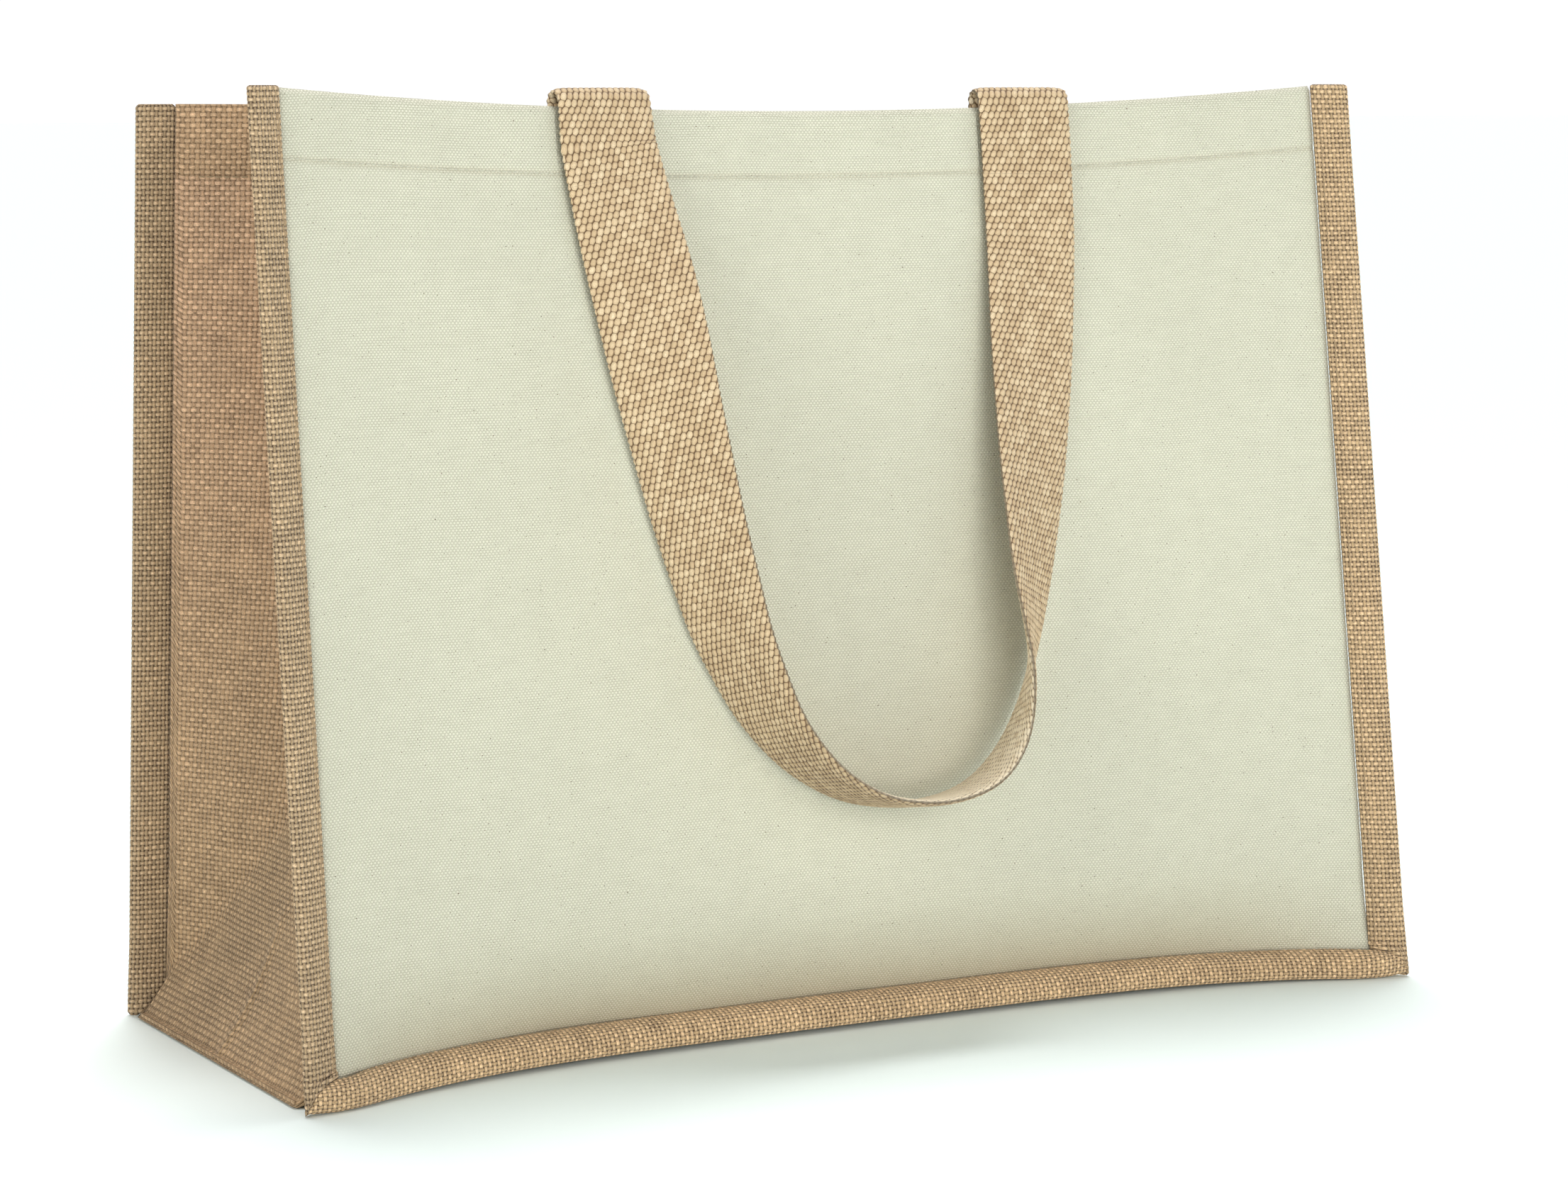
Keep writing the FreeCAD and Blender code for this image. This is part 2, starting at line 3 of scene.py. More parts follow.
import bpy
import numpy as np
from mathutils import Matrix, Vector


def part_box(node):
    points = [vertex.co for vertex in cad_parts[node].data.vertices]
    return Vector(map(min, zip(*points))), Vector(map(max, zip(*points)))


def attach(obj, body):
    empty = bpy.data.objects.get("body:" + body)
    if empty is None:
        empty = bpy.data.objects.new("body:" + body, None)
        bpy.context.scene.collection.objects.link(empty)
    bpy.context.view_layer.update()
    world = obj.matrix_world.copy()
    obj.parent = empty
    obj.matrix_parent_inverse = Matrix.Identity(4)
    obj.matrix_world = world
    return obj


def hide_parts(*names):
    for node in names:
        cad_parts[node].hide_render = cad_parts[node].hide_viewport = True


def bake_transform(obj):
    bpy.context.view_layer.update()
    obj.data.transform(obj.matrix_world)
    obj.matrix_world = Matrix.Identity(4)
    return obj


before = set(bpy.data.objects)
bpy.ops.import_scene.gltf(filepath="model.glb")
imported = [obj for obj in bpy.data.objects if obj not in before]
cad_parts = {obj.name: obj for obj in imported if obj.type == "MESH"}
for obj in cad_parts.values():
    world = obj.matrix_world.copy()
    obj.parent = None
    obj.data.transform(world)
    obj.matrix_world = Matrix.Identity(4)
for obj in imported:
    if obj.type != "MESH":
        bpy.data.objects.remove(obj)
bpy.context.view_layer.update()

# The front of the bag is side -1 and the rear is side 1. Lengths are in metres unless a name ends in Mm.
sideName = {-1: "front", 1: "rear"}
strapBody = {-1: "front_strap", 1: "rear_strap"}


# The bag's own shape, shared by its pieces

bag = {
    "depth": 0.176,                     # rim to rim at the floor
    "lean": {-1: 0.046, 1: 0.020},      # how far each side seam leans in over its height
    "splay": {-1: 0.0068, 1: 0.002},    # binding, seam to rim along Y
    "reach": {-1: 0.0128, 1: 0.0143},   # binding, seam to rim across X
    "taper": 0.0025,                    # how much narrower each half is at the mouth
    "tuck": 0.040,                      # height at which the low bow holds
    "lowBow": 0.016,                    # how far the middle of a panel hangs in
    "mouthBow": 0.020,
    "mouth": {-1: 0.3353, 1: 0.325},    # floor to the middle of each mouth edge
    "dip": {-1: 0.009, 1: 0.0123},      # how far it rises to its corners
    "baseBow": 0.024,
    "baseFlare": 0.0126,
    "seamHeight": 0.0097,
    "panelHalf": 0.2129,
    "gussetGap": 0.0028,
}
topHeight = {side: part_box(sideName[side] + "_binding")[1].z for side in (-1, 1)}
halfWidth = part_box("front_binding")[1].x - 0.0005
seamLeanLow = bag["lean"][-1] * bag["seamHeight"] / topHeight[-1]
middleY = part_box("gusset")[0].y + bag["depth"] / 2 - bag["splay"][-1] - seamLeanLow - bag["gussetGap"]


# 0 below low, 1 above high, smooth between
def ease(low, high, at):
    part = np.clip((np.asarray(at, float) - low) / (high - low), 0, 1)
    return part * part * (3 - 2 * part)


def acrossShare(x):
    return np.clip(x / bag["panelHalf"], -1, 1)


def seamPlane(side, z):
    return middleY + side * (bag["depth"] / 2 - bag["splay"][side] - bag["lean"][side] * z / topHeight[side])


# Y of a canvas panel's outer face above the tuck
def panelFace(side, x, z):
    bow = bag["lowBow"] + (bag["mouthBow"] - bag["lowBow"]) * (z - bag["tuck"]) / (topHeight[-1] - bag["tuck"])
    return seamPlane(side, z) - side * bow * (1 - acrossShare(x) ** 2)


def baseRim(side, x):
    return middleY + side * (bag["depth"] / 2 - bag["baseBow"] * (1 - acrossShare(x) ** 4))


def baseSeam(side, x):
    splay = bag["splay"][side]
    flare = splay + (bag["baseFlare"] - splay) * (1 - acrossShare(x) ** 4)
    return baseRim(side, x) - side * flare


def mouthEdge(side, x):
    return bag["mouth"][side] + bag["dip"][side] * acrossShare(x) ** 2


# Half width of the bag at a side seam
def rootX(side, z):
    return halfWidth - bag["taper"] * z / topHeight[-1] - bag["reach"][side]


# Mesh helpers

# Running average along the first axis that keeps both ends
def smoothCurve(values, window):
    kernel = np.hanning(window + 2)[1:-1]
    kernel /= kernel.sum()
    pad = window // 2
    flat = values.reshape(len(values), -1)
    out = np.empty_like(flat)
    for column in range(flat.shape[1]):
        line = flat[:, column]
        head = 2 * line[0] - line[pad:0:-1]
        tail = 2 * line[-1] - line[-2:-pad - 2:-1]
        out[:, column] = np.convolve(np.concatenate([head, line, tail]), kernel, "valid")[:len(line)]
    return out.reshape(values.shape)


def unit(vectors):
    return vectors / np.maximum(np.linalg.norm(vectors, axis=-1, keepdims=True), 1e-12)


# Normals of a grid of closed rings
def ringNormals(rings):
    around = np.roll(rings, -1, axis=1) - np.roll(rings, 1, axis=1)
    along = np.gradient(rings, axis=0)
    return unit(np.cross(around, along))


# Mesh object from arrays; uv holds one pair for each corner of each quad, in millimetres of cloth
def meshFrom(name, points, quads, uv, smooth=None, extra=None):
    mesh = bpy.data.meshes.new(name)
    mesh.vertices.add(len(points))
    mesh.vertices.foreach_set("co", np.ascontiguousarray(points, np.float32).ravel())
    mesh.loops.add(quads.size)
    mesh.loops.foreach_set("vertex_index", quads.astype(np.int32).ravel())
    mesh.polygons.add(len(quads))
    mesh.polygons.foreach_set("loop_start", np.arange(0, quads.size, 4, dtype=np.int32))
    mesh.polygons.foreach_set("use_smooth", np.ones(len(quads), bool) if smooth is None else smooth)
    layer = mesh.uv_layers.new(name="cloth")
    layer.data.foreach_set("uv", uv.astype(np.float32).ravel())
    for label, numbers in (extra or {}).items():
        attribute = mesh.attributes.new(label, "FLOAT", "POINT")
        attribute.data.foreach_set("value", numbers.astype(np.float32).ravel())
    mesh.update(calc_edges=True)
    mesh.validate()
    piece = bpy.data.objects.new(name, mesh)
    bpy.context.scene.collection.objects.link(piece)
    return piece


# Tube through rings with flat ends, wound outward. Point j of a ring lies opposite point count-1-j.
# A slit tube is left open between the last point of each ring and the first.
def tubeArrays(rings, uv, extra=None, slit=False):
    rows, count = rings.shape[:2]
    index = np.arange(rows * count).reshape(rows, count)
    after = np.roll(index, -1, axis=1)
    nextUv = np.concatenate([uv[:, 1:], 2 * uv[:, -1:] - uv[:, -2:-1]], axis=1)
    used = slice(None, -1) if slit else slice(None)
    quads = [np.stack([index[:-1], after[:-1], after[1:], index[1:]], -1)[:, used].reshape(-1, 4)]
    corners = [np.stack([uv[:-1], nextUv[:-1], nextUv[1:], uv[1:]], -2)[:, used].reshape(-1, 4, 2)]
    near = np.arange(count // 2 - 1)
    cap = np.stack([near, near + 1, count - 2 - near, count - 1 - near], -1)
    for row, turned in ((0, cap[:, ::-1]), (rows - 1, cap)):
        quads.append(index[row][turned])
        corners.append(uv[row][turned])
    smooth = np.ones(sum(len(part) for part in quads), bool)
    smooth[len(quads[0]):] = False
    quads, corners = np.concatenate(quads), np.concatenate(corners)
    points = rings.reshape(-1, 3)
    a, b, c, d = (points[quads[:, corner]] for corner in range(4))
    if (np.cross(a, b) * c).sum() + (np.cross(a, c) * d).sum() < 0:
        quads, corners = quads[:, ::-1], corners[:, ::-1]
    more = {label: numbers.ravel() for label, numbers in (extra or {}).items()}
    return points, quads, corners, smooth, more


# Several tubes' arrays as one
def joinArrays(parts):
    starts = np.cumsum([0] + [len(part[0]) for part in parts[:-1]])
    quads = np.concatenate([part[1] + start for part, start in zip(parts, starts)])
    more = {label: np.concatenate([part[4][label] for part in parts]) for label in parts[0][4]}
    points, corners, smooth = (np.concatenate([part[number] for part in parts]) for number in (0, 2, 3))
    return points, quads, corners, smooth, more


def makePiece(name, arrays, body, material, nodes):
    piece = meshFrom(name, *arrays)
    piece.data.materials.append(material)
    if body:
        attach(piece, body)
    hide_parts(*nodes)
    return piece


# Height of a plain weave over places counted in yarns, 0 in the gaps and 1 on the crowns
def plainWeave(across, along, width=0.46):
    column, row = np.round(across), np.round(along)
    crownRow = np.cos(np.pi * (across + row))
    crownColumn = -np.cos(np.pi * (along + column))
    rowYarn = np.sqrt(np.clip(1 - ((along - row) / width) ** 2, 0, 1))
    columnYarn = np.sqrt(np.clip(1 - ((across - column) / width) ** 2, 0, 1))
    return np.maximum(rowYarn * (0.6 + 0.4 * crownRow), columnYarn * (0.6 + 0.4 * crownColumn))


# Material helpers

def addNode(tree, kind, inputs=None, **settings):
    node = tree.nodes.new("ShaderNode" + kind)
    for key, setting in settings.items():
        setattr(node, key, setting)
    for key, source in (inputs or {}).items():
        if isinstance(source, bpy.types.NodeSocket):
            tree.links.new(source, node.inputs[key])
        else:
            node.inputs[key].default_value = source
    return node


def calc(tree, operation, first, second=0.0, third=0.0):
    return addNode(tree, "Math", {0: first, 1: second, 2: third}, operation=operation).outputs[0]


def blendColour(tree, share, first, second, kind="MIX"):
    node = addNode(tree, "Mix", {0: share, 6: first, 7: second}, data_type="RGBA", blend_type=kind)
    return node.outputs[2]


def newMaterial(name):
    material = bpy.data.materials.new(name)
    material.use_nodes = True
    tree = material.node_tree
    shader = tree.nodes["Principled BSDF"]
    return material, tree, shader


# The cloth's own coordinates in millimetres, together and as two numbers
def clothPlace(tree):
    place = addNode(tree, "UVMap", uv_map="cloth").outputs[0]
    parts = addNode(tree, "SeparateXYZ", {0: place})
    return place, parts.outputs[0], parts.outputs[1]


# A part times its share, plus the rest
def mixIn(tree, first, share, rest=0.0):
    return calc(tree, "MULTIPLY_ADD", first, share, rest)


# A factor that is 1 where the number is at its middle, and moves to both sides by the spread
def aroundOne(tree, number, spread, middle=0.5):
    return mixIn(tree, number, spread, 1 - spread * middle)


def noiseAt(tree, place, scale, stretch=(1, 1, 1), detail=2.0, offset=(0, 0, 0), turn=0.0):
    if turn:
        place = addNode(tree, "VectorRotate", {"Vector": place, "Angle": turn}, rotation_type="Z_AXIS").outputs[0]
    scales = [scale * part for part in stretch]
    moved = addNode(tree, "Mapping", {"Vector": place, "Scale": scales, "Location": offset})
    return addNode(tree, "TexNoise", {"Vector": moved.outputs[0], "Scale": 1.0, "Detail": detail}).outputs[0]


# Plain weave: rows run across the cloth, columns up it
def weaveMaterial(name, look):
    material, tree, shader = newMaterial(name)
    place, across, along = clothPlace(tree)
    sway, swayUp = (noiseAt(tree, place, look["wanderScale"], offset=offset) for offset in ((0, 0, 0), (31, 7, 3)))
    wander = mixIn(tree, sway, look["wander"], -look["wander"] / 2)
    wanderUp = mixIn(tree, swayUp, look["wander"], -look["wander"] / 2)
    s = calc(tree, "DIVIDE", calc(tree, "ADD", across, wander), look["columnPitch"])
    t = calc(tree, "DIVIDE", calc(tree, "ADD", along, wanderUp), look["rowPitch"])
    column, row = calc(tree, "ROUND", s), calc(tree, "ROUND", t)
    # each yarn's own thickness and tone, which drifts along it
    apart = 3.7    # from one yarn to the next in the noise
    rowDrift, rowStep = calc(tree, "MULTIPLY", across, look["drift"]), calc(tree, "MULTIPLY", row, apart)
    columnStep, columnDrift = calc(tree, "MULTIPLY", column, apart), calc(tree, "MULTIPLY", along, look["drift"])
    rowPlace = addNode(tree, "CombineXYZ", {0: rowDrift, 1: rowStep}).outputs[0]
    columnPlace = addNode(tree, "CombineXYZ", {0: columnStep, 1: columnDrift}).outputs[0]
    rowTone = noiseAt(tree, rowPlace, 1.0, detail=1.0, offset=(0, 0, 4))
    columnTone = noiseAt(tree, columnPlace, 1.0, detail=1.0, offset=(0, 0, 9))
    slub = noiseAt(tree, place, 0.11, detail=3.0, offset=(3, 90, 1))

    def yarn(offCentre, tone, phase, sign):
        half = look["rowHalf"] if sign > 0 else look["columnHalf"]
        width = mixIn(tree, tone, look["yarnVary"], half - look["yarnVary"] / 2)
        width = mixIn(tree, slub, look["yarnVary"], width)
        inside = calc(tree, "POWER", calc(tree, "DIVIDE", offCentre, width), 2.0)
        roundness = calc(tree, "SQRT", calc(tree, "MAXIMUM", calc(tree, "SUBTRACT", 1.0, inside), 0.0))
        crown = calc(tree, "COSINE", calc(tree, "MULTIPLY", phase, math.pi))
        crown = mixIn(tree, crown, sign * look["crown"], 1 - look["crown"])
        return calc(tree, "MULTIPLY", roundness, crown)

    rowHeight = yarn(calc(tree, "SUBTRACT", t, row), rowTone, calc(tree, "ADD", s, row), 1)
    columnHeight = yarn(calc(tree, "SUBTRACT", s, column), columnTone, calc(tree, "ADD", t, column), -1)
    height = calc(tree, "MAXIMUM", rowHeight, columnHeight)
    onRow = calc(tree, "MULTIPLY", calc(tree, "SUBTRACT", rowHeight, columnHeight), 12.0)
    onRow = addNode(tree, "Clamp", {0: calc(tree, "ADD", onRow, 0.5)}).outputs[0]
    fibreRow = noiseAt(tree, place, 1.0, (look["strand"], look["fibre"], 1), 3.0, turn=0.22)
    fibreColumn = noiseAt(tree, place, 1.0, (look["fibre"], look["strand"], 1), 3.0, turn=0.22)
    fibre = addNode(tree, "Mix", {0: onRow, 2: fibreColumn, 3: fibreRow}).outputs[0]
    tone = addNode(tree, "Mix", {0: onRow, 2: columnTone, 3: rowTone}).outputs[0]

    colour = blendColour(tree, onRow, look["columnColour"], look["rowColour"])
    patches = addNode(tree, "ValToRGB", {0: noiseAt(tree, place, 0.012, detail=4.0)})
    dull, clean = patches.color_ramp.elements
    dull.position, clean.position = 0.3, 0.7
    dull.color, clean.color = (*[1 - look["patch"]] * 3, 1), (1, 1, 1, 1)
    colour = blendColour(tree, 1.0, colour, patches.outputs[0], "MULTIPLY")
    light = aroundOne(tree, tone, look["toneVary"])
    # painted highlight on the yarn crowns and painted shade on their flanks
    light = calc(tree, "MULTIPLY", light, aroundOne(tree, height, look["crownLight"], 0.8))
    light = calc(tree, "MULTIPLY", light, aroundOne(tree, fibre, look["fibreVary"]))
    # painted shade: the gap colour darkens the low places between the yarns
    shade = addNode(tree, "MapRange", {0: height, 1: look["gapLow"], 2: look["gapHigh"], 3: 0.0, 4: 1.0})
    colour = addNode(tree, "VectorMath", {0: colour, 3: light}, operation="SCALE").outputs[0]
    colour = blendColour(tree, shade.outputs[0], look["gapShadeColour"], colour)
    # painted shade, multiplied in where the piece's shade attribute asks for it
    paintedShade = addNode(tree, "Attribute", attribute_name="paintedShade").outputs["Fac"]
    colour = blendColour(tree, paintedShade, colour, look["paintedShade"], "MULTIPLY")
    # scattered dark bits of husk
    fleck = noiseAt(tree, place, look["fleckScale"], look["fleckStretch"], detail=0.0, offset=(11, 5, 2))
    edge = {1: look["fleckFrom"], 2: look["fleckFrom"] + 0.03}
    fleck = addNode(tree, "MapRange", {0: fleck, **edge, 3: 0.0, 4: look["fleckStrength"]}).outputs[0]
    colour = blendColour(tree, fleck, colour, look["fleckColour"])
    tree.links.new(colour, shader.inputs["Base Color"])
    tree.links.new(mixIn(tree, fibre, 0.2, look["roughness"]), shader.inputs["Roughness"])
    relief = mixIn(tree, fibre, 0.25, height)
    bump = addNode(tree, "Bump", {"Strength": look["bump"], "Distance": look["relief"], "Height": relief})
    tree.links.new(bump.outputs[0], shader.inputs["Normal"])
    shader.inputs["Specular IOR Level"].default_value = 0.2
    shader.inputs["Sheen Weight"].default_value = look["sheen"]
    shader.inputs["Sheen Roughness"].default_value = 0.5
    return material


# Pitches are in millimetres, half widths in yarns. A look's shade colour is painted shade, multiplied into a piece
# where its shade attribute says.
canvasLook = {
    "columnPitch": 0.71, "rowPitch": 0.87, "wander": 0.30, "wanderScale": 0.06,
    "rowHalf": 0.47, "columnHalf": 0.45, "yarnVary": 0.12, "crown": 0.36,
    "rowColour": (0.69, 0.68, 0.565, 1), "columnColour": (0.54, 0.535, 0.42, 1), "toneVary": 0.12,
    "drift": 0.12, "crownLight": 0.22, "strand": 0.8, "fibre": 7.0, "fibreVary": 0.28, "patch": 0.03,
    "gapLow": 0.26, "gapHigh": 0.60, "gapShadeColour": (0.37, 0.35, 0.24, 1), "fleckScale": 1.1,
    "fleckStretch": (1.0, 1.6, 1), "fleckFrom": 0.815, "fleckStrength": 0.9, "fleckColour": (0.10, 0.06, 0.03, 1),
    "roughness": 0.8, "bump": 0.9, "relief": 0.00035, "sheen": 0.1, "paintedShade": (0.66, 0.54, 0.41, 1),
}
juteLook = {
    "columnPitch": 1.88, "rowPitch": 1.88, "wander": 0.9, "wanderScale": 0.045,
    "rowHalf": 0.32, "columnHalf": 0.36, "yarnVary": 0.20, "crown": 0.40,
    "rowColour": (0.71, 0.47, 0.30, 1), "columnColour": (0.53, 0.34, 0.205, 1), "toneVary": 0.75,
    "drift": 0.10, "crownLight": 0.55, "strand": 0.9, "fibre": 6.5, "fibreVary": 2.2, "patch": 0.10,
    "gapLow": 0.14, "gapHigh": 0.56, "gapShadeColour": (0.21, 0.125, 0.07, 1), "fleckScale": 0.6,
    "fleckStretch": (1.0, 2.0, 1), "fleckFrom": 0.82, "fleckStrength": 0.7, "fleckColour": (0.08, 0.045, 0.025, 1),
    "roughness": 0.78, "bump": 1.0, "relief": 0.0007, "sheen": 0.12, "paintedShade": (0.82, 0.85, 0.76, 1),
}
bindingLook = {
    **juteLook, "columnPitch": 1.5, "rowHalf": 0.29, "columnHalf": 0.33, "patch": 0.14,
    "rowColour": (0.82, 0.58, 0.34, 1), "columnColour": (0.58, 0.405, 0.225, 1),
    "gapShadeColour": (0.12, 0.07, 0.038, 1), "paintedShade": (0.76, 0.78, 0.82, 1),
}
canvasMaterial = weaveMaterial("undyedCanvas", canvasLook)
juteMaterial = weaveMaterial("juteCloth", juteLook)
bindingMaterial = weaveMaterial("juteTape", bindingLook)

webbingLook = {
    "grainAcross": 2.45, "grainAlong": 2.5, "grainHalf": (1.26, 1.66), "lean": 0.30, "wander": 0.7,
    "colours": [(0.0, (0.33, 0.225, 0.125)), (0.30, (0.50, 0.36, 0.21)), (0.55, (0.60, 0.45, 0.275)),
                (0.80, (0.70, 0.56, 0.37)), (1.0, (0.90, 0.78, 0.58))],
    "gapShadeColour": (0.17, 0.10, 0.05, 1), "strandsPerMm": 1.7, "sizeVary": 0.22, "toneShare": 0.28,
    "fibreShare": 0.65, "twistShare": 0.09, "domeShare": 0.30, "paintedLightShare": 0.35,
    "roughness": 0.64, "sheen": 0.15, "bump": 0.9, "relief": 0.0006,
}


# Rows of short floats like grains of rice, each row shifted by half a grain
def webbingMaterialFrom(look):
    material, tree, shader = newMaterial("juteWebbing")
    place, across, along = clothPlace(tree)
    sway, swayUp = (noiseAt(tree, place, 0.3, offset=offset) for offset in ((0, 0, 0), (9, 2, 0)))
    across = calc(tree, "ADD", across, mixIn(tree, sway, look["wander"], -look["wander"] / 2))
    along = calc(tree, "ADD", along, mixIn(tree, swayUp, look["wander"], -look["wander"] / 2))
    domes, tones, twists = [], [], []
    for shift in (0, 1):
        a = mixIn(tree, across, 1 / look["grainAcross"], 0.5 * shift)
        b = mixIn(tree, along, 0.5 / look["grainAlong"], 0.5 * shift)
        i, j = calc(tree, "ROUND", a), calc(tree, "ROUND", b)
        db = calc(tree, "MULTIPLY", calc(tree, "SUBTRACT", b, j), 2 * look["grainAlong"])
        da = calc(tree, "MULTIPLY", calc(tree, "SUBTRACT", a, i), look["grainAcross"])
        da = mixIn(tree, db, look["lean"], da)
        own = addNode(tree, "CombineXYZ", {0: i, 1: j, 2: 17.0 + shift}).outputs[0]
        draw = addNode(tree, "TexWhiteNoise", {0: own}, noise_dimensions="3D")
        wide = calc(tree, "POWER", calc(tree, "DIVIDE", da, look["grainHalf"][0]), 2.0)
        tall = calc(tree, "POWER", calc(tree, "DIVIDE", db, look["grainHalf"][1]), 2.0)
        size = aroundOne(tree, draw.outputs[0], look["sizeVary"])
        domes.append(calc(tree, "SUBTRACT", size, calc(tree, "ADD", wide, tall)))
        tones.append(draw.outputs[0])
        twist = mixIn(tree, db, 0.45, da)
        twists.append(calc(tree, "SINE", calc(tree, "MULTIPLY", twist, 2 * math.pi * look["strandsPerMm"])))
    apart = calc(tree, "SUBTRACT", domes[1], domes[0])
    second = calc(tree, "GREATER_THAN", apart, 0.0)
    dome = calc(tree, "MAXIMUM", calc(tree, "MAXIMUM", domes[0], domes[1]), 0.0)
    tone = addNode(tree, "Mix", {0: second, 2: tones[0], 3: tones[1]}).outputs[0]
    twist = addNode(tree, "Mix", {0: second, 2: twists[0], 3: twists[1]}).outputs[0]
    # low where two grains meet, which the gap colour paints as shade
    seam = addNode(tree, "MapRange", {0: calc(tree, "ABSOLUTE", apart), 1: 0.0, 2: 0.42}).outputs[0]
    body = calc(tree, "MULTIPLY", calc(tree, "SQRT", dome), mixIn(tree, seam, 0.5, 0.5))
    fibre = noiseAt(tree, place, 1.0, (5.5, 1.4, 1), detail=3.0, turn=0.5)
    # painted light and shade: above 0 painted lighter, below 0 painted darker
    paintedLight = addNode(tree, "Attribute", attribute_name="paintedLight").outputs["Fac"]    # above 0 paler, below 0 darker
    # painted highlight from the dome on each grain's top and from the twist in streaks along its fibres
    tint = -0.14    # brings the middle of the colours to the middle of the cloth
    for part, share in ((tone, "toneShare"), (fibre, "fibreShare"), (twist, "twistShare"), (dome, "domeShare"),
                        (paintedLight, "paintedLightShare")):
        tint = mixIn(tree, part, look[share], tint)
    ramp = addNode(tree, "ValToRGB", {0: tint})
    spots = ramp.color_ramp.elements
    for position, colour in look["colours"][1:-1]:
        spots.new(position)
    for spot, (position, colour) in zip(spots, look["colours"]):
        spot.position, spot.color = position, (*colour, 1)
    shade = addNode(tree, "MapRange", {0: mixIn(tree, paintedLight, 0.2, body), 1: 0.18, 2: 0.62}).outputs[0]
    colour = blendColour(tree, shade, look["gapShadeColour"], ramp.outputs[0])
    tree.links.new(colour, shader.inputs["Base Color"])
    tree.links.new(mixIn(tree, fibre, 0.2, look["roughness"]), shader.inputs["Roughness"])
    relief = mixIn(tree, twist, 0.06, mixIn(tree, fibre, 0.2, body))
    bump = addNode(tree, "Bump", {"Strength": look["bump"], "Distance": look["relief"], "Height": relief})
    tree.links.new(bump.outputs[0], shader.inputs["Normal"])
    shader.inputs["Specular IOR Level"].default_value = 0.25
    shader.inputs["Sheen Weight"].default_value = look["sheen"]
    shader.inputs["Sheen Roughness"].default_value = 0.45
    return material


webbingMaterial = webbingMaterialFrom(webbingLook)


def threadMaterialFrom(name, colour, roughness):
    material, tree, shader = newMaterial(name)
    _, across, along = clothPlace(tree)
    twist = calc(tree, "SINE", calc(tree, "MULTIPLY", calc(tree, "ADD", across, along), 9.0))
    # painted shade in the twist's grooves, the plies lighter
    share = mixIn(tree, twist, 0.25, 0.6)
    dark = (*[part * 0.55 for part in colour], 1)
    tree.links.new(blendColour(tree, share, dark, (*colour, 1)), shader.inputs["Base Color"])
    bump = addNode(tree, "Bump", {"Strength": 0.6, "Distance": 0.0001, "Height": twist})
    tree.links.new(bump.outputs[0], shader.inputs["Normal"])
    shader.inputs["Roughness"].default_value = roughness
    return material


paleThread = threadMaterialFrom("paleThread", (0.72, 0.71, 0.58), 0.6)
juteThread = threadMaterialFrom("juteThread", (0.50, 0.36, 0.21), 0.7)
print("materials ready")


# Canvas panels

panel = {
    "thick": 0.0012,
    "hem": 0.026,
    "needleUp": 0.0022,     # needle row above the hem's lower edge
    "needleDip": 0.00035,
    "columns": 150,
    "rows": [(0, 0.885, 84), (0.888, 0.945, 26), (0.952, 1.0, 10)],    # closer together over the hem's edge
    "topRound": 0.0014,
    "ripple": 0.0006,
    "foldTop": 0.046,       # below this the panel turns in to its base seam
    # how high the painted shade over the base seam reaches
    "shadeHeight": 0.062,
    "flatHalfMm": 217.0,
}
clothShiftMm = 300    # keeps the cloth's own coordinates above 0


# Outer face of a panel, all the way down to its base seam
def panelPoint(side, x, z):
    fold = panel["foldTop"]
    top, foot = panelFace(side, x, fold), baseSeam(side, x)
    part = np.clip((fold - z) / (fold - bag["seamHeight"]), 0, 1)
    fall = np.where(z < fold, top + (foot - top) * part ** 1.35, panelFace(side, x, z))
    # slow waves that keep the cloth from looking ironed
    wave = np.sin(x * 61 + z * 17 + side) * np.sin(z * 23 - x * 9 + 0.7) * panel["ripple"]
    wave += np.sin(x * 140 + 1.3 * side) * panel["ripple"] * ease(0.28, 0.335, z)
    wave *= 1 - acrossShare(x) ** 6
    return fall + wave * side


def makePanel(side):
    share = np.concatenate([np.linspace(*span) for span in panel["rows"]])
    rings, uvs, paintedShade = [], [], []
    for part in np.linspace(-1, 1, panel["columns"]):
        edge = mouthEdge(side, part * bag["panelHalf"])
        z = bag["seamHeight"] + (edge - bag["seamHeight"]) * share
        x = part * (rootX(side, z) - 0.0004)
        y = panelPoint(side, x, z)
        hemLine = edge - panel["hem"]
        # the needle row pulls the hem's cloth in a little
        row = np.exp(-((z - hemLine - panel["needleUp"]) / 0.0011) ** 2)
        y = y - side * panel["needleDip"] * row
        thick = panel["thick"] * (1 + ease(hemLine - 0.0012, hemLine, z))
        over = np.clip((z - (edge - panel["topRound"])) / panel["topRound"], 0, 1)
        pinch = 1 - np.sqrt(np.clip(1 - over ** 2, 0, 1))
        outer = np.stack([x, y - side * thick * 0.5 * pinch, z], -1)
        inner = np.stack([x, y - side * thick * (1 - 0.5 * pinch), z], -1)
        rings.append(np.concatenate([outer, inner[::-1]]))
        up = np.concatenate([[0], np.cumsum(np.linalg.norm(np.diff(outer, axis=0), axis=1))]) * 1000
        both = np.concatenate([up, 2 * up[-1] - up[::-1]])
        uvs.append(np.stack([np.full(len(both), part * panel["flatHalfMm"] + clothShiftMm), both], -1))
        # painted warm shade over the base seam, and a faint painted shade along the needle row
        shade = np.clip(1 - z / panel["shadeHeight"], 0, 1) ** 2 * (1 - 0.8 * part ** 4) + 0.22 * row
        paintedShade.append(np.concatenate([shade, shade[::-1]]))
    arrays = tubeArrays(np.array(rings), np.array(uvs), extra={"paintedShade": np.array(paintedShade)})
    return makePiece(sideName[side] + "CanvasPanel", arrays, "bag", canvasMaterial,
                     [sideName[side] + "_panel"])


canvasPanels = {side: makePanel(side) for side in (-1, 1)}
print("canvas panels made")


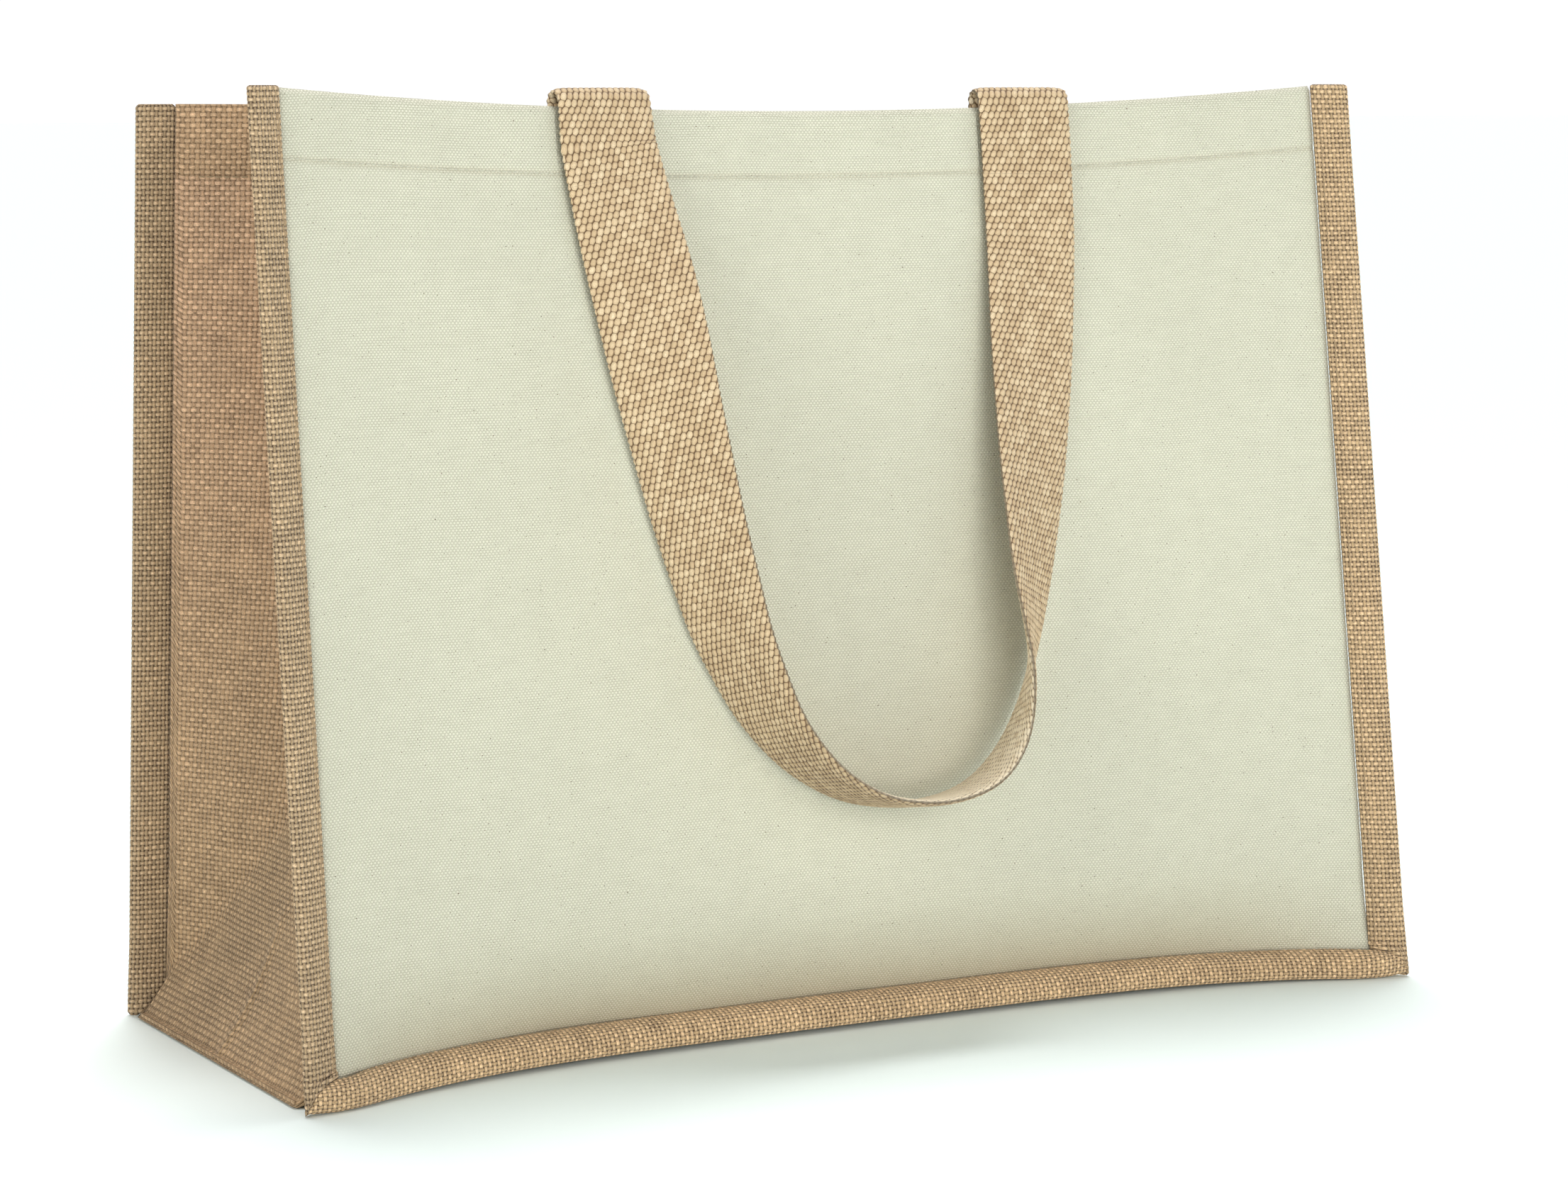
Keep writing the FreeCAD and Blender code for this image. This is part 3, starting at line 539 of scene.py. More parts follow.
# Gusset: one jute strip, up the left side, across the base and up the right side

gusset = {
    "thick": 0.0016,
    "cloth": 0.1646,         # width of the strip between its seams
    "apexDepth": 0.037,
    "triangleLean": 0.39,
    "triangleFoot": 0.0043,
    "rollHeight": 0.036,
    "bulge": 0.0125,         # base fold beyond the seams
    "tent": 0.045,
    "foldWidth": 0.0012,     # how softly the two sheets meet
    "lowest": 0.0008,
    "yarn": 0.00188,
    "step": 0.00094,         # half a yarn
    "relief": 0.00042,
}


def gussetEdges(z):
    return seamPlane(-1, z) + bag["gussetGap"], seamPlane(1, z) - bag["gussetGap"]


def softMin(first, second, soft):
    return (first + second - np.sqrt((first - second) ** 2 + soft ** 2)) / 2 + soft / 2


# Depths of the wall's two sheets below the seams, v from -1 at the front seam to 1 at the rear one
def gussetSheets(z, v):
    front, rear = gussetEdges(z)
    half = (rear - front) / 2
    crease = np.sqrt(np.maximum((gusset["cloth"] / 2) ** 2 - half ** 2, 0))
    crease = np.maximum(crease, gusset["apexDepth"])
    # a V with a soft point
    soft = 0.0012
    bend = np.sqrt(v ** 2 + soft) - math.sqrt(soft)
    valley = crease * (1 - bend / (math.sqrt(1 + soft) - math.sqrt(soft)))
    # the bottom triangle leans in as it rises, and rolls out to the base fold at its foot
    low = np.clip(1 - z / gusset["rollHeight"], 0, 1)
    foot = gusset["triangleFoot"]
    slope = z * gusset["triangleLean"] - foot - (gusset["bulge"] - foot) * low ** 2
    return valley, slope


# 1 at the seams and 0 across the rest of the strip
def gussetCorner(v):
    return 1 - ease(0, 0.05, 1 - np.abs(v))


# The strip's lowest height, lifted to the seam by a share
def gussetLow(share):
    return gusset["lowest"] + (bag["seamHeight"] - gusset["lowest"]) * share


# Point of the wall at a height
def gussetWall(hand, z, v):
    front, rear = gussetEdges(z)
    half = (rear - front) / 2
    valley, slope = gussetSheets(z, v)
    # pulled out to the seams at the foot only
    inward = softMin(valley, slope, gusset["foldWidth"]) * (1 - gussetCorner(v) * (1 - ease(0.02, 0.06, z)))
    # a shallow old crease up the middle of the bottom triangle
    crease = 0.0012 * np.exp(-(v / 0.03) ** 2) * (1 - ease(0.02, 0.07, z))
    x = hand * (rootX(-1, z) - inward + crease)
    return np.stack([x, (front + rear) / 2 + v * half, z + 0 * v], -1)


# Point of the base strip, x along the bag
def gussetFloor(x, v):
    front = baseSeam(-1, x) + bag["gussetGap"]
    rear = baseSeam(1, x) - bag["gussetGap"]
    inside = 1 - np.clip(np.abs(x) / (rootX(-1, 0) + gusset["bulge"]), 0, 1)
    tent = gusset["tent"] * ease(0, 0.5, inside) * (1 - np.sqrt(v ** 2 + 0.002) + 0.045)
    low = gussetLow(np.maximum(gussetCorner(v), ease(0.01, 0.12, inside)))
    return np.stack([x + 0 * v, (front + rear) / 2 + v * (rear - front) / 2, low + np.maximum(tent, 0)], -1)


# How much greyer and darker the strip is, as painted shade over the bottom triangles and a little down each wall;
# the top hem is made greyer and darker too
def gussetPaintedShade(z, v):
    valley, slope = gussetSheets(z, v)
    triangle = ease(-0.0006, 0.0010, valley - slope)
    wall = 0.9 * (1 - ease(0.02, 0.33, z))
    hemEdge = topHeight[1] - panel["hem"]
    hem = 0.55 * ease(hemEdge - 0.001, hemEdge + 0.001, z)
    return np.maximum(np.maximum(triangle, wall), hem)


def makeGusset():
    across = np.linspace(-1, 1, int(gusset["cloth"] / gusset["step"]) // 2 * 2 + 1)
    corner = gussetCorner(across)
    low, top = gussetLow(corner), topHeight[1]
    wallRows = int(top / gusset["step"])
    floorHalf = rootX(-1, 0) + gusset["bulge"]
    floorRows = int(2 * floorHalf / gusset["step"])
    rows, length, paintedShade = [], [], []

    # a row of the wall at a share of its height, so far along the strip
    def wallRow(hand, t, reached):
        z = low + (top - low) * t
        rows.append(gussetWall(hand, z, across))
        paintedShade.append(gussetPaintedShade(z, across))
        length.append(reached)

    for step in range(wallRows):
        t = 1 - step / wallRows
        wallRow(-1, t, top * (1 - t))
    for step in range(floorRows + 1):
        t = step / floorRows * 2 - 1
        edge = rootX(-1, 0) + gusset["bulge"] * (1 - corner)
        rows.append(gussetFloor(t * edge, across))
        # the base strip under the bag is painted fully in shade
        paintedShade.append(np.ones_like(across))
        length.append(top + floorHalf * (t + 1))
    for step in range(1, wallRows + 1):
        t = step / wallRows
        wallRow(1, t, top + 2 * floorHalf + top * t)
    outer = np.array(rows)
    along = np.gradient(outer, axis=0)
    side = np.gradient(outer, axis=1)
    normal = unit(np.cross(along, side))
    length = np.array(length)
    u = across[None, :] * gusset["cloth"] / 2 + 0 * length[:, None]
    v = length[:, None] + 0 * across[None, :]
    height = plainWeave(u / gusset["yarn"], v / gusset["yarn"])
    # outward is away from the bag's middle, so to the left near the top of the left wall
    if normal[20, 40, 0] > 0:
        normal = -normal
    fade = ease(0, 0.02, 1 - np.abs(across))[None, :]
    outer = outer + normal * ((height - 0.8) * gusset["relief"] * (0.3 + 0.7 * fade))[..., None]
    outer[..., 2] = np.maximum(outer[..., 2], 0.0001)
    inner = outer - normal * gusset["thick"]
    inner[..., 2] = np.maximum(inner[..., 2], 0.0003)
    rings = np.concatenate([outer, inner[:, ::-1]], axis=1)
    uMm = np.concatenate([u, 2 * u[:, -1:] - u[:, ::-1] + gusset["yarn"]], axis=1) * 1000 + clothShiftMm
    vMm = np.concatenate([v, v[:, ::-1]], axis=1) * 1000
    both = np.concatenate([np.array(paintedShade), np.array(paintedShade)[:, ::-1]], axis=1)
    arrays = tubeArrays(rings, np.stack([uMm, vMm], -1), extra={"paintedShade": both})
    return makePiece("gussetCloth", arrays, "bag", juteMaterial, ["gusset"])


gussetPiece = makeGusset()
print("gusset made")


# Binding: jute tape folded over the seams

binding = {
    "half": 0.0025,
    "points": 78,
    "step": 0.00047,
    "relief": 0.00045,
    "mitre": 0.014,
    "toe": 0.004,
    "yarnMm": (1.5, 1.88),      # across the tape and along it
    "topRound": 0.0016,
    # painted shade on each run of tape: fully on the left leg, less on the right leg, none on the base run
    "paintedShade": {"left": 1.0, "base": 0.0, "right": 0.45},    # how much greyer each run of tape is
}


# Six corners of the folded tape at each height
def legOutline(side, hand, z):
    out = np.array([hand * bag["reach"][side], side * bag["splay"][side]])
    turn = np.array([-out[1], out[0]]) / np.linalg.norm(out) * binding["half"] * hand * side
    root = np.stack([hand * rootX(side, z), seamPlane(side, z)], -1)
    flat = [root + turn, root + out * 0.75 + turn, root + out + turn * 0.4,
            root + out - turn * 0.4, root + out * 0.75 - turn, root - turn]
    return np.stack([np.concatenate([corner, z[:, None]], -1) for corner in flat], 1)


def baseOutline(side, x):
    half = binding["half"]
    seamY, rimY = baseSeam(side, x), baseRim(side, x)
    seamZ = bag["seamHeight"]
    shoulder = seamY + (rimY - seamY) * 0.75
    toe = rimY - side * half * 0.3
    heel = toe - side * binding["toe"]
    lift = 0.0016 * (1 - acrossShare(x) ** 4)
    under = 0.0002 + lift
    shape = [(seamY, seamZ + half), (shoulder, seamZ - half * 0.2 + lift), (rimY, half * 1.3 + lift),
             (toe, under), (heel, under), (seamY, seamZ - half)]
    return np.stack([np.stack([x, y + 0 * x, z + 0 * x], -1) for y, z in shape], 1)


# Corners cut until the outline is round, then points evenly round it, beginning mid-root
def roundedRings(outlines, count):
    start = (outlines[:, :1] + outlines[:, -1:]) / 2
    line = np.concatenate([start, outlines, start], 1)
    for _ in range(3):
        first = line[:, :-1] * 0.75 + line[:, 1:] * 0.25
        second = line[:, :-1] * 0.25 + line[:, 1:] * 0.75
        cut = np.stack([first, second], 2).reshape(len(line), -1, 3)
        line = np.concatenate([line[:, :1], cut[:, 1:-1], line[:, -1:]], 1)
    pieces = np.linalg.norm(np.diff(line, axis=1), axis=2)
    place = np.concatenate([np.zeros((len(line), 1)), np.cumsum(pieces, 1)], 1)
    wanted = (np.arange(count) + 0.5) / count
    out = np.empty((len(line), count, 3))
    for number in range(len(line)):
        for axis in range(3):
            out[number, :, axis] = np.interp(wanted * place[number, -1], place[number], line[number, :, axis])
    return out, place[:, -1]


# One run of tape, the left leg, the base or the right leg: its rings, each point's place along it and its girth,
# both in millimetres
def bindingTube(side, part):
    legFoot = {hand: legOutline(side, hand, np.array([0.0]))[0] for hand in (-1, 1)}
    if part == "base":
        end = rootX(side, 0)
        place = np.arange(-end, end + binding["step"], binding["step"])
        place[-1] = end
        outline = baseOutline(side, place)
        blend = 1 - ease(0, binding["mitre"], end - np.abs(place))
        for hand in (-1, 1):
            near = np.sign(place) == hand
            goal = legFoot[hand]
            for corner in range(6):
                outline[near, corner, 0] += (goal[corner, 0] - hand * end) * blend[near]
                outline[near, corner, 1] += (goal[corner, 1] - outline[near, corner, 1]) * blend[near]
        axis = 0
    else:
        hand = -1 if part == "left" else 1
        place = np.arange(0, topHeight[side], binding["step"])
        place[-1] = topHeight[side]
        outline = legOutline(side, hand, place)
        corner = baseOutline(side, np.array([hand * rootX(side, 0)]))[0]
        blend = 1 - ease(0, binding["mitre"], place)
        outline[:, :, 2] += corner[None, :, 2] * blend[:, None]
        axis = 2
    rings, length = roundedRings(outline, binding["points"])
    return rings, rings[:, :, axis] * 1000, float(np.median(length)) * 1000


# The rings with their yarns raised, and their outward normals
def weaveRelief(rings, u, v, acrossPitch, alongPitch, relief):
    normal = ringNormals(rings)
    centre = rings.mean(1, keepdims=True)
    sign = np.sign(((rings - centre) * normal).sum(-1).mean())
    height = plainWeave(u / acrossPitch, v / alongPitch)
    return rings + normal * sign * ((height - 0.75) * relief)[..., None], normal * sign


def makeBinding(side):
    parts, smooth = [], {}
    for part in ("left", "base", "right"):
        rings, along, length = bindingTube(side, part)
        u = (np.arange(binding["points"]) + 0.5)[None, :] / binding["points"] * length + 0 * along
        acrossMm, alongMm = binding["yarnMm"]
        pitch = length / round(length / acrossMm)
        if part == "base":
            # the base tape's ends lie under the legs'
            shrink = 1 - 0.10 * (1 - ease(0.004, 0.018, halfWidth - np.abs(rings[:, :, 0].mean(1))))
        else:
            grow = 1 + 0.05 * (1 - ease(0.008, 0.03, rings[:, :, 2].mean(1)))
            last = np.clip((rings[:, :, 2].mean(1) - topHeight[side]) / binding["topRound"] + 1, 0, 1)
            shrink = grow * (1 - 0.16 * (1 - np.sqrt(1 - last ** 2)))
        centre = rings.mean(1, keepdims=True)
        rings = centre + (rings - centre) * shrink[:, None, None]
        bumpy, normal = weaveRelief(rings, u, along, pitch, alongMm, binding["relief"])
        smooth[part] = (rings, normal)
        bumpy[:, :, 2] = np.maximum(bumpy[:, :, 2], 0.0001)
        paintedShade = np.full(along.shape, binding["paintedShade"][part])
        parts.append(tubeArrays(bumpy, np.stack([u * acrossMm / pitch, along], -1), {"paintedShade": paintedShade}, slit=True))
    piece = makePiece(sideName[side] + "BindingTape", joinArrays(parts), "bag", bindingMaterial,
                      [sideName[side] + "_binding"])
    return piece, smooth


bindingPieces, bindingRuns = {}, {}
for side in (-1, 1):
    bindingPieces[side], bindingRuns[side] = makeBinding(side)
print("bindings made")


# Handles: one length of webbing each, sewn inside the mouth, over it and down the outside

handle = {
    "width": 0.038,
    "thick": 0.0028,
    "spacing": 0.176,
    "shift": 0.003,
    "drop": 0.255,
    "tabNear": 0.0027,
    "outerGap": 0.0025,
    "tabLength": 0.024,
    "facet": 0.112,
    "relief": 0.00042,
    "stepMm": 0.6,
    "columns": 66,
    "halfMm": 19.0,
    "grainShift": {1: 29.4, -1: 80.85},             # outer face, inner face
    # painted light on the inner face, most at the foot of the loop where it faces up, and painted shade on the
    # outer face at the foot, where it faces down
    "paintedLight": {1: (0.0, -0.6), -1: (0.5, 1.3)},       # everywhere, and added at the foot of the loop
    "footMm": 75,
}
# share of the half spacing, share of the drop, and the strap's turn in degrees
loopShape = [
    (-1.00, 0.06, 3), (-0.97, 0.14, 9), (-0.93, 0.26, 28), (-0.88, 0.42, 48), (-0.80, 0.58, 59),
    (-0.69, 0.74, 69), (-0.54, 0.86, 78), (-0.36, 0.935, 81), (-0.12, 0.985, 81), (0.17, 1.00, 80),
    (0.43, 0.985, 78), (0.57, 0.95, 76), (0.67, 0.90, 72), (0.75, 0.82, 62), (0.81, 0.69, 39),
    (0.88, 0.54, 22), (0.94, 0.38, 9), (0.99, 0.20, 1), (1.00, 0.06, 0),
]
archHeight = {side: mouthEdge(side, handle["facet"]) + 0.001 for side in (-1, 1)}


# Level directions of a panel under one end of a handle: towards the middle, and outward
def panelAxes(side, hand):
    inner = handle["spacing"] / 2 - handle["width"] / 2 - 0.005
    edge = mouthEdge(side, handle["facet"])
    rise = panelFace(side, handle["facet"], edge) - panelFace(side, inner, edge)
    slope = math.atan2(rise, handle["facet"] - inner)
    across = np.array([-hand * math.cos(slope), -math.sin(slope), 0])
    outward = np.array([-hand * math.sin(slope), math.cos(slope), 0]) * side
    return across, outward


# Middle line of the webbing with its across direction and outer normal, about every half millimetre
def strapFrames(side):
    middleGap = (handle["tabNear"] - handle["outerGap"]) / 2
    radius = (handle["tabNear"] + handle["outerGap"] + handle["thick"]) / 2

    def endRun(hand):
        across, outward = panelAxes(side, hand)
        x = handle["shift"] + hand * handle["spacing"] / 2
        down = np.linspace(handle["tabLength"], 0, 40)
        rows = []
        for depth in down:
            z = archHeight[side] - depth
            face = np.array([x, panelFace(side, x, z), z])
            rows.append((face - outward * (handle["tabNear"] + handle["thick"] / 2), across, -outward))
        face = np.array([x, panelFace(side, x, archHeight[side]), archHeight[side]])
        centre = face - outward * middleGap
        for degrees in np.arange(170, -1, -7.5):
            angle = math.radians(degrees)
            spoke = outward * math.cos(angle) + np.array([0, 0, math.sin(angle)])
            rows.append((centre + spoke * radius, across, spoke))
        return rows

    left, right = endRun(-1), endRun(1)
    table = np.array(loopShape, float)
    # evenly spaced and smoothed along the loop
    xs = handle["shift"] + handle["spacing"] / 2 * table[:, 0]
    zs = archHeight[side] - handle["drop"] * table[:, 1]
    run = np.concatenate([[0], np.cumsum(np.hypot(np.diff(xs), np.diff(zs)))])
    fine = np.arange(0, run[-1], 0.0005)
    line = np.stack([np.interp(fine, run, xs), np.interp(fine, run, zs), np.interp(fine, run, table[:, 2])], -1)
    line = smoothCurve(line, 81)
    x, z, turn = line[:, 0], line[:, 1], np.radians(line[:, 2])
    reach = handle["width"] / 2
    slope = (panelFace(side, x - reach, z) - panelFace(side, x + reach, z)) / (2 * reach)
    outward = unit(np.stack([slope, np.ones_like(x), np.zeros_like(x)], -1)) * side
    stand = handle["outerGap"] + handle["thick"] / 2 + reach * np.sin(turn)
    centre = np.stack([x, panelFace(side, x, z), z], -1) + outward * stand[:, None]
    tangent = unit(np.gradient(centre, axis=0))
    outward = unit(outward - tangent * (outward * tangent).sum(-1, keepdims=True))
    inward = np.cross(outward, tangent) * -side
    across = inward * np.cos(turn)[:, None] + outward * np.sin(turn)[:, None]
    normal = np.cross(tangent, across) * -side
    centres = np.concatenate([[row[0] for row in left], centre, [row[0] for row in right[::-1]]])
    acrosses = np.concatenate([[row[1] for row in left], across, [row[1] for row in right[::-1]]])
    normals = np.concatenate([[row[2] for row in left], normal, [row[2] for row in right[::-1]]])
    # evenly spaced rows
    run = np.concatenate([[0], np.cumsum(np.linalg.norm(np.diff(centres, axis=0), axis=1))])
    count = int(run[-1] * 1000 / handle["stepMm"])
    even = np.linspace(0, run[-1], count)
    frames = []
    for values in (centres, acrosses, normals):
        frames.append(np.stack([np.interp(even, run, values[:, axis]) for axis in range(3)], -1))
    centre, across, normal = frames
    joinStart = run[len(left) + 24]
    joinEnd = run[-1] - run[len(right) + 24]
    # soften the joins between the runs without moving the sewn ends
    keep = ease(0.020, 0.030, np.minimum(even, run[-1] - even))[:, None]
    centre = centre + (smoothCurve(centre, 9) - centre) * keep
    tangent = unit(np.gradient(centre, axis=0))
    across = unit(across - tangent * (across * tangent).sum(-1, keepdims=True))
    normal = np.cross(tangent, across) * -side
    return centre, across, normal, even, (joinStart, joinEnd)


# Height of the webbing's grains on the same rows as its material
def grainField(u, v):
    look = webbingLook
    best = np.zeros_like(u)
    for shift in (0, 1):
        a = u / look["grainAcross"] + 0.5 * shift
        b = v / (2 * look["grainAlong"]) + 0.5 * shift
        db = (b - np.round(b)) * 2 * look["grainAlong"]
        da = (a - np.round(a)) * look["grainAcross"] + look["lean"] * db
        best = np.maximum(best, 1 - (da / look["grainHalf"][0]) ** 2 - (db / look["grainHalf"][1]) ** 2)
    return np.sqrt(best)


def makeHandle(side):
    centre, across, normal, even, joins = strapFrames(side)
    half, thick = handle["width"] / 2, handle["thick"] / 2
    columns = np.linspace(-1, 1, handle["columns"])
    columns = np.sign(columns) * (1 - (1 - np.abs(columns)) ** 1.12)
    body = np.sqrt(np.clip(1 - np.abs(columns) ** 9, 0.10, 1))
    v = even * 1000
    rings, uvs, paintedLights = [], [], []
    foot = np.exp(-((v - v[-1] / 2) / handle["footMm"]) ** 2)    # 1 at the foot of the loop
    for face, order in ((1, 1), (-1, -1)):
        cols = columns[::order]
        u, along = np.meshgrid(cols * handle["halfMm"] + handle["grainShift"][face], v)
        height = grainField(u, along)
        # knots along the selvedge
        beat = 0.5 + 0.5 * np.cos(2 * np.pi * v / webbingLook["grainAlong"] + face)
        knot = np.abs(cols)[None, :] ** 14 * beat[:, None]
        spread = cols[None, :] * (half - 0.0004) + np.sign(cols)[None, :] * knot * 0.0005
        level = body[::order][None, :]
        rise = face * level * (thick - handle["relief"] + height * handle["relief"])
        sideways, up = across[:, None, :] * spread[..., None], normal[:, None, :] * rise[..., None]
        rings.append(centre[:, None, :] + sideways + up)
        uvs.append(np.stack([u, along], -1))
        plain, atFoot = handle["paintedLight"][face]
        paintedLights.append(np.repeat((plain + atFoot * foot)[:, None], len(cols), 1))
    rings = np.concatenate(rings, 1)
    paintedLights = np.concatenate(paintedLights, 1)
    uvs = np.concatenate(uvs, 1)
    first = int(np.searchsorted(even, joins[0]))
    last = int(np.searchsorted(even, joins[1]))
    word = sideName[side]
    pieces = {}
    for part, node, span in (("LeftEnd", "_handle_left_end", slice(0, first + 1)),
                             ("Loop", "_handle", slice(first, last + 1)),
                             ("RightEnd", "_handle_right_end", slice(last, None))):
        arrays = tubeArrays(rings[span], uvs[span], {"paintedLight": paintedLights[span]})
        rideOn = strapBody[side] if part == "Loop" else None
        piece = makePiece(word + "Handle" + part, arrays, rideOn, webbingMaterial, [word + node])
        pieces[part] = piece
        if part != "Loop":
            hand = -1 if part == "LeftEnd" else 1
            x = handle["shift"] + hand * handle["spacing"] / 2
            face = np.array([x, panelFace(side, x, archHeight[side]), archHeight[side]])
            # the direction up the leaning panel at the tab is worked out here but not used
            low = archHeight[side] - handle["tabLength"]
            rise = unit(face - np.array([x, panelFace(side, x, low), low]))
            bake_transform(piece)
    return pieces


handlePieces = {side: makeHandle(side) for side in (-1, 1)}
print("handles made")


# Stitches: each is a short thread whose ends dive into the cloth

stitch = {
    "length": 0.0026,
    "pitch": 0.0032,
    "hemLength": 0.0015,
    "hemPitch": 0.0022,
    "bindingPitch": 0.0036,
    "radius": 0.00032,
    "rise": 0.00030,
    "dive": 0.0009,
    "sides": 6,
    "boxTop": 0.003,      # below the top of the webbing's turn
    "boxFoot": 0.025,
}


# Stitches laid along a line on a surface
def stitchArrays(points, normals, pitch=stitch["pitch"], length=stitch["length"]):
    run = np.concatenate([[0], np.cumsum(np.linalg.norm(np.diff(points, axis=0), axis=1))])
    starts = np.arange(0.0008, run[-1] - length, pitch)
    parts = []
    for start in starts:
        share = np.linspace(0, 1, 7)
        at = start + share * length
        middle = np.stack([np.interp(at, run, points[:, axis]) for axis in range(3)], -1)
        up = unit(np.stack([np.interp(at, run, normals[:, axis]) for axis in range(3)], -1))
        lift = stitch["rise"] * np.sin(share * np.pi) ** 0.6 - stitch["radius"] * 0.9
        lift = np.where((share == 0) | (share == 1), -stitch["dive"], lift)
        middle = middle + up * lift[:, None]
        forward = unit(np.gradient(middle, axis=0))
        sideways = unit(np.cross(forward, up))
        above = np.cross(sideways, forward)
        angle = 2 * np.pi * (np.arange(stitch["sides"]) + 0.5) / stitch["sides"]
        thin = stitch["radius"] * np.array([0.6, 0.95, 1, 1, 1, 0.95, 0.6])
        turned, risen = np.cos(angle)[None, :, None], np.sin(angle)[None, :, None]
        spoke = sideways[:, None, :] * turned + above[:, None, :] * risen
        rings = middle[:, None, :] + thin[:, None, None] * spoke
        uv = np.stack(np.broadcast_arrays(angle[None, :], at[:, None] * 1000), -1)
        parts.append(tubeArrays(rings, uv))
    return joinArrays(parts)


def hemStitches(side):
    x = np.linspace(-bag["panelHalf"] + 0.001, bag["panelHalf"] - 0.001, 400)
    z = mouthEdge(side, x) - panel["hem"] + panel["needleUp"]
    points = np.stack([x, panelPoint(side, x, z) - side * 0.0003, z], -1)
    normals = np.tile([0.0, side, 0.0], (len(x), 1))
    name = sideName[side]
    arrays = stitchArrays(points, normals, pitch=stitch["hemPitch"], length=stitch["hemLength"])
    return makePiece(name + "HemStitches", arrays, "bag", paleThread,
                     [name + "_hem_stitching"])


def boxStitches(side):
    parts = []
    for hand in (-1, 1):
        across, outward = panelAxes(side, hand)
        x = handle["shift"] + hand * handle["spacing"] / 2
        top, foot = archHeight[side] - stitch["boxTop"], archHeight[side] - stitch["boxFoot"]
        wide = handle["width"] / 2 - 0.0002
        corners = [(-wide, top), (-wide, foot), (wide, foot), (wide, top), (-wide, top)]
        for (a, high), (b, low) in zip(corners, corners[1:]):
            share = np.linspace(0, 1, 40)
            reach = a + (b - a) * share
            z = high + (low - high) * share
            px = x + across[0] * reach
            points = np.stack([px, panelPoint(side, px, z), z], -1)
            parts.append(stitchArrays(points, np.tile(outward, (40, 1))))
    name = sideName[side]
    return makePiece(name + "HandleStitches", joinArrays(parts), "bag", paleThread,
                     [name + "_handle_stitching"])


def bindingStitches(side):
    parts = []
    for part in ("left", "base", "right"):
        rings, normal = bindingRuns[side][part]
        column, span = 9, slice(12, -12)    # near the tape's edge, clear of its ends
        line = rings[span, column] + normal[span, column] * 0.0001
        parts.append(stitchArrays(line, normal[span, column], stitch["bindingPitch"]))
    name = sideName[side]
    return makePiece(name + "BindingStitches", joinArrays(parts), "bag", juteThread,
                     [name + "_binding_stitching"])


def gussetStitches(hand):
    v = np.linspace(-0.93, 0.93, 300)
    z = topHeight[1] - panel["hem"] + 0 * v
    points = gussetWall(hand, z, v)
    normals = np.tile([float(hand), 0.0, 0.0], (len(v), 1))
    word = "left" if hand < 0 else "right"
    return makePiece(word + "GussetStitches", stitchArrays(points + normals * 0.0001, normals), "bag", juteThread,
                     [word + "_gusset_hem_stitching"])


hemRows = {side: hemStitches(side) for side in (-1, 1)}
boxRows = {side: boxStitches(side) for side in (-1, 1)}
bindingRows = {side: bindingStitches(side) for side in (-1, 1)}
gussetRows = {hand: gussetStitches(hand) for hand in (-1, 1)}
print("stitches made")
# Floor, light and camera

studio = {
    "floorHalf": 30.0,
    "floorColour": (0.86, 0.95, 0.935),
    "horizon": 1.03,
    "zenith": 0.22,
    "glowBand": (0.12, 0.5),    # where the sky turns from the one to the other
    "sun": 2.85,
    "sunSpread": 30.0,
    "sunTilt": (-19, 8, 0),
    "lights": {
        "keyLight": {"size": 1.1, "spread": 60, "power": 2.6, "place": (-0.12, -1.55, 0.38),
                     "aim": (0.04, 0, 0.20), "colour": (1.0, 0.985, 0.96)},
        "sideLight": {"size": 0.8, "spread": 100, "power": 2.3, "place": (-1.5, -0.5, 0.95),
                      "aim": (-0.2, 0, 0.25), "colour": (1.0, 0.97, 0.94)},
    },
}


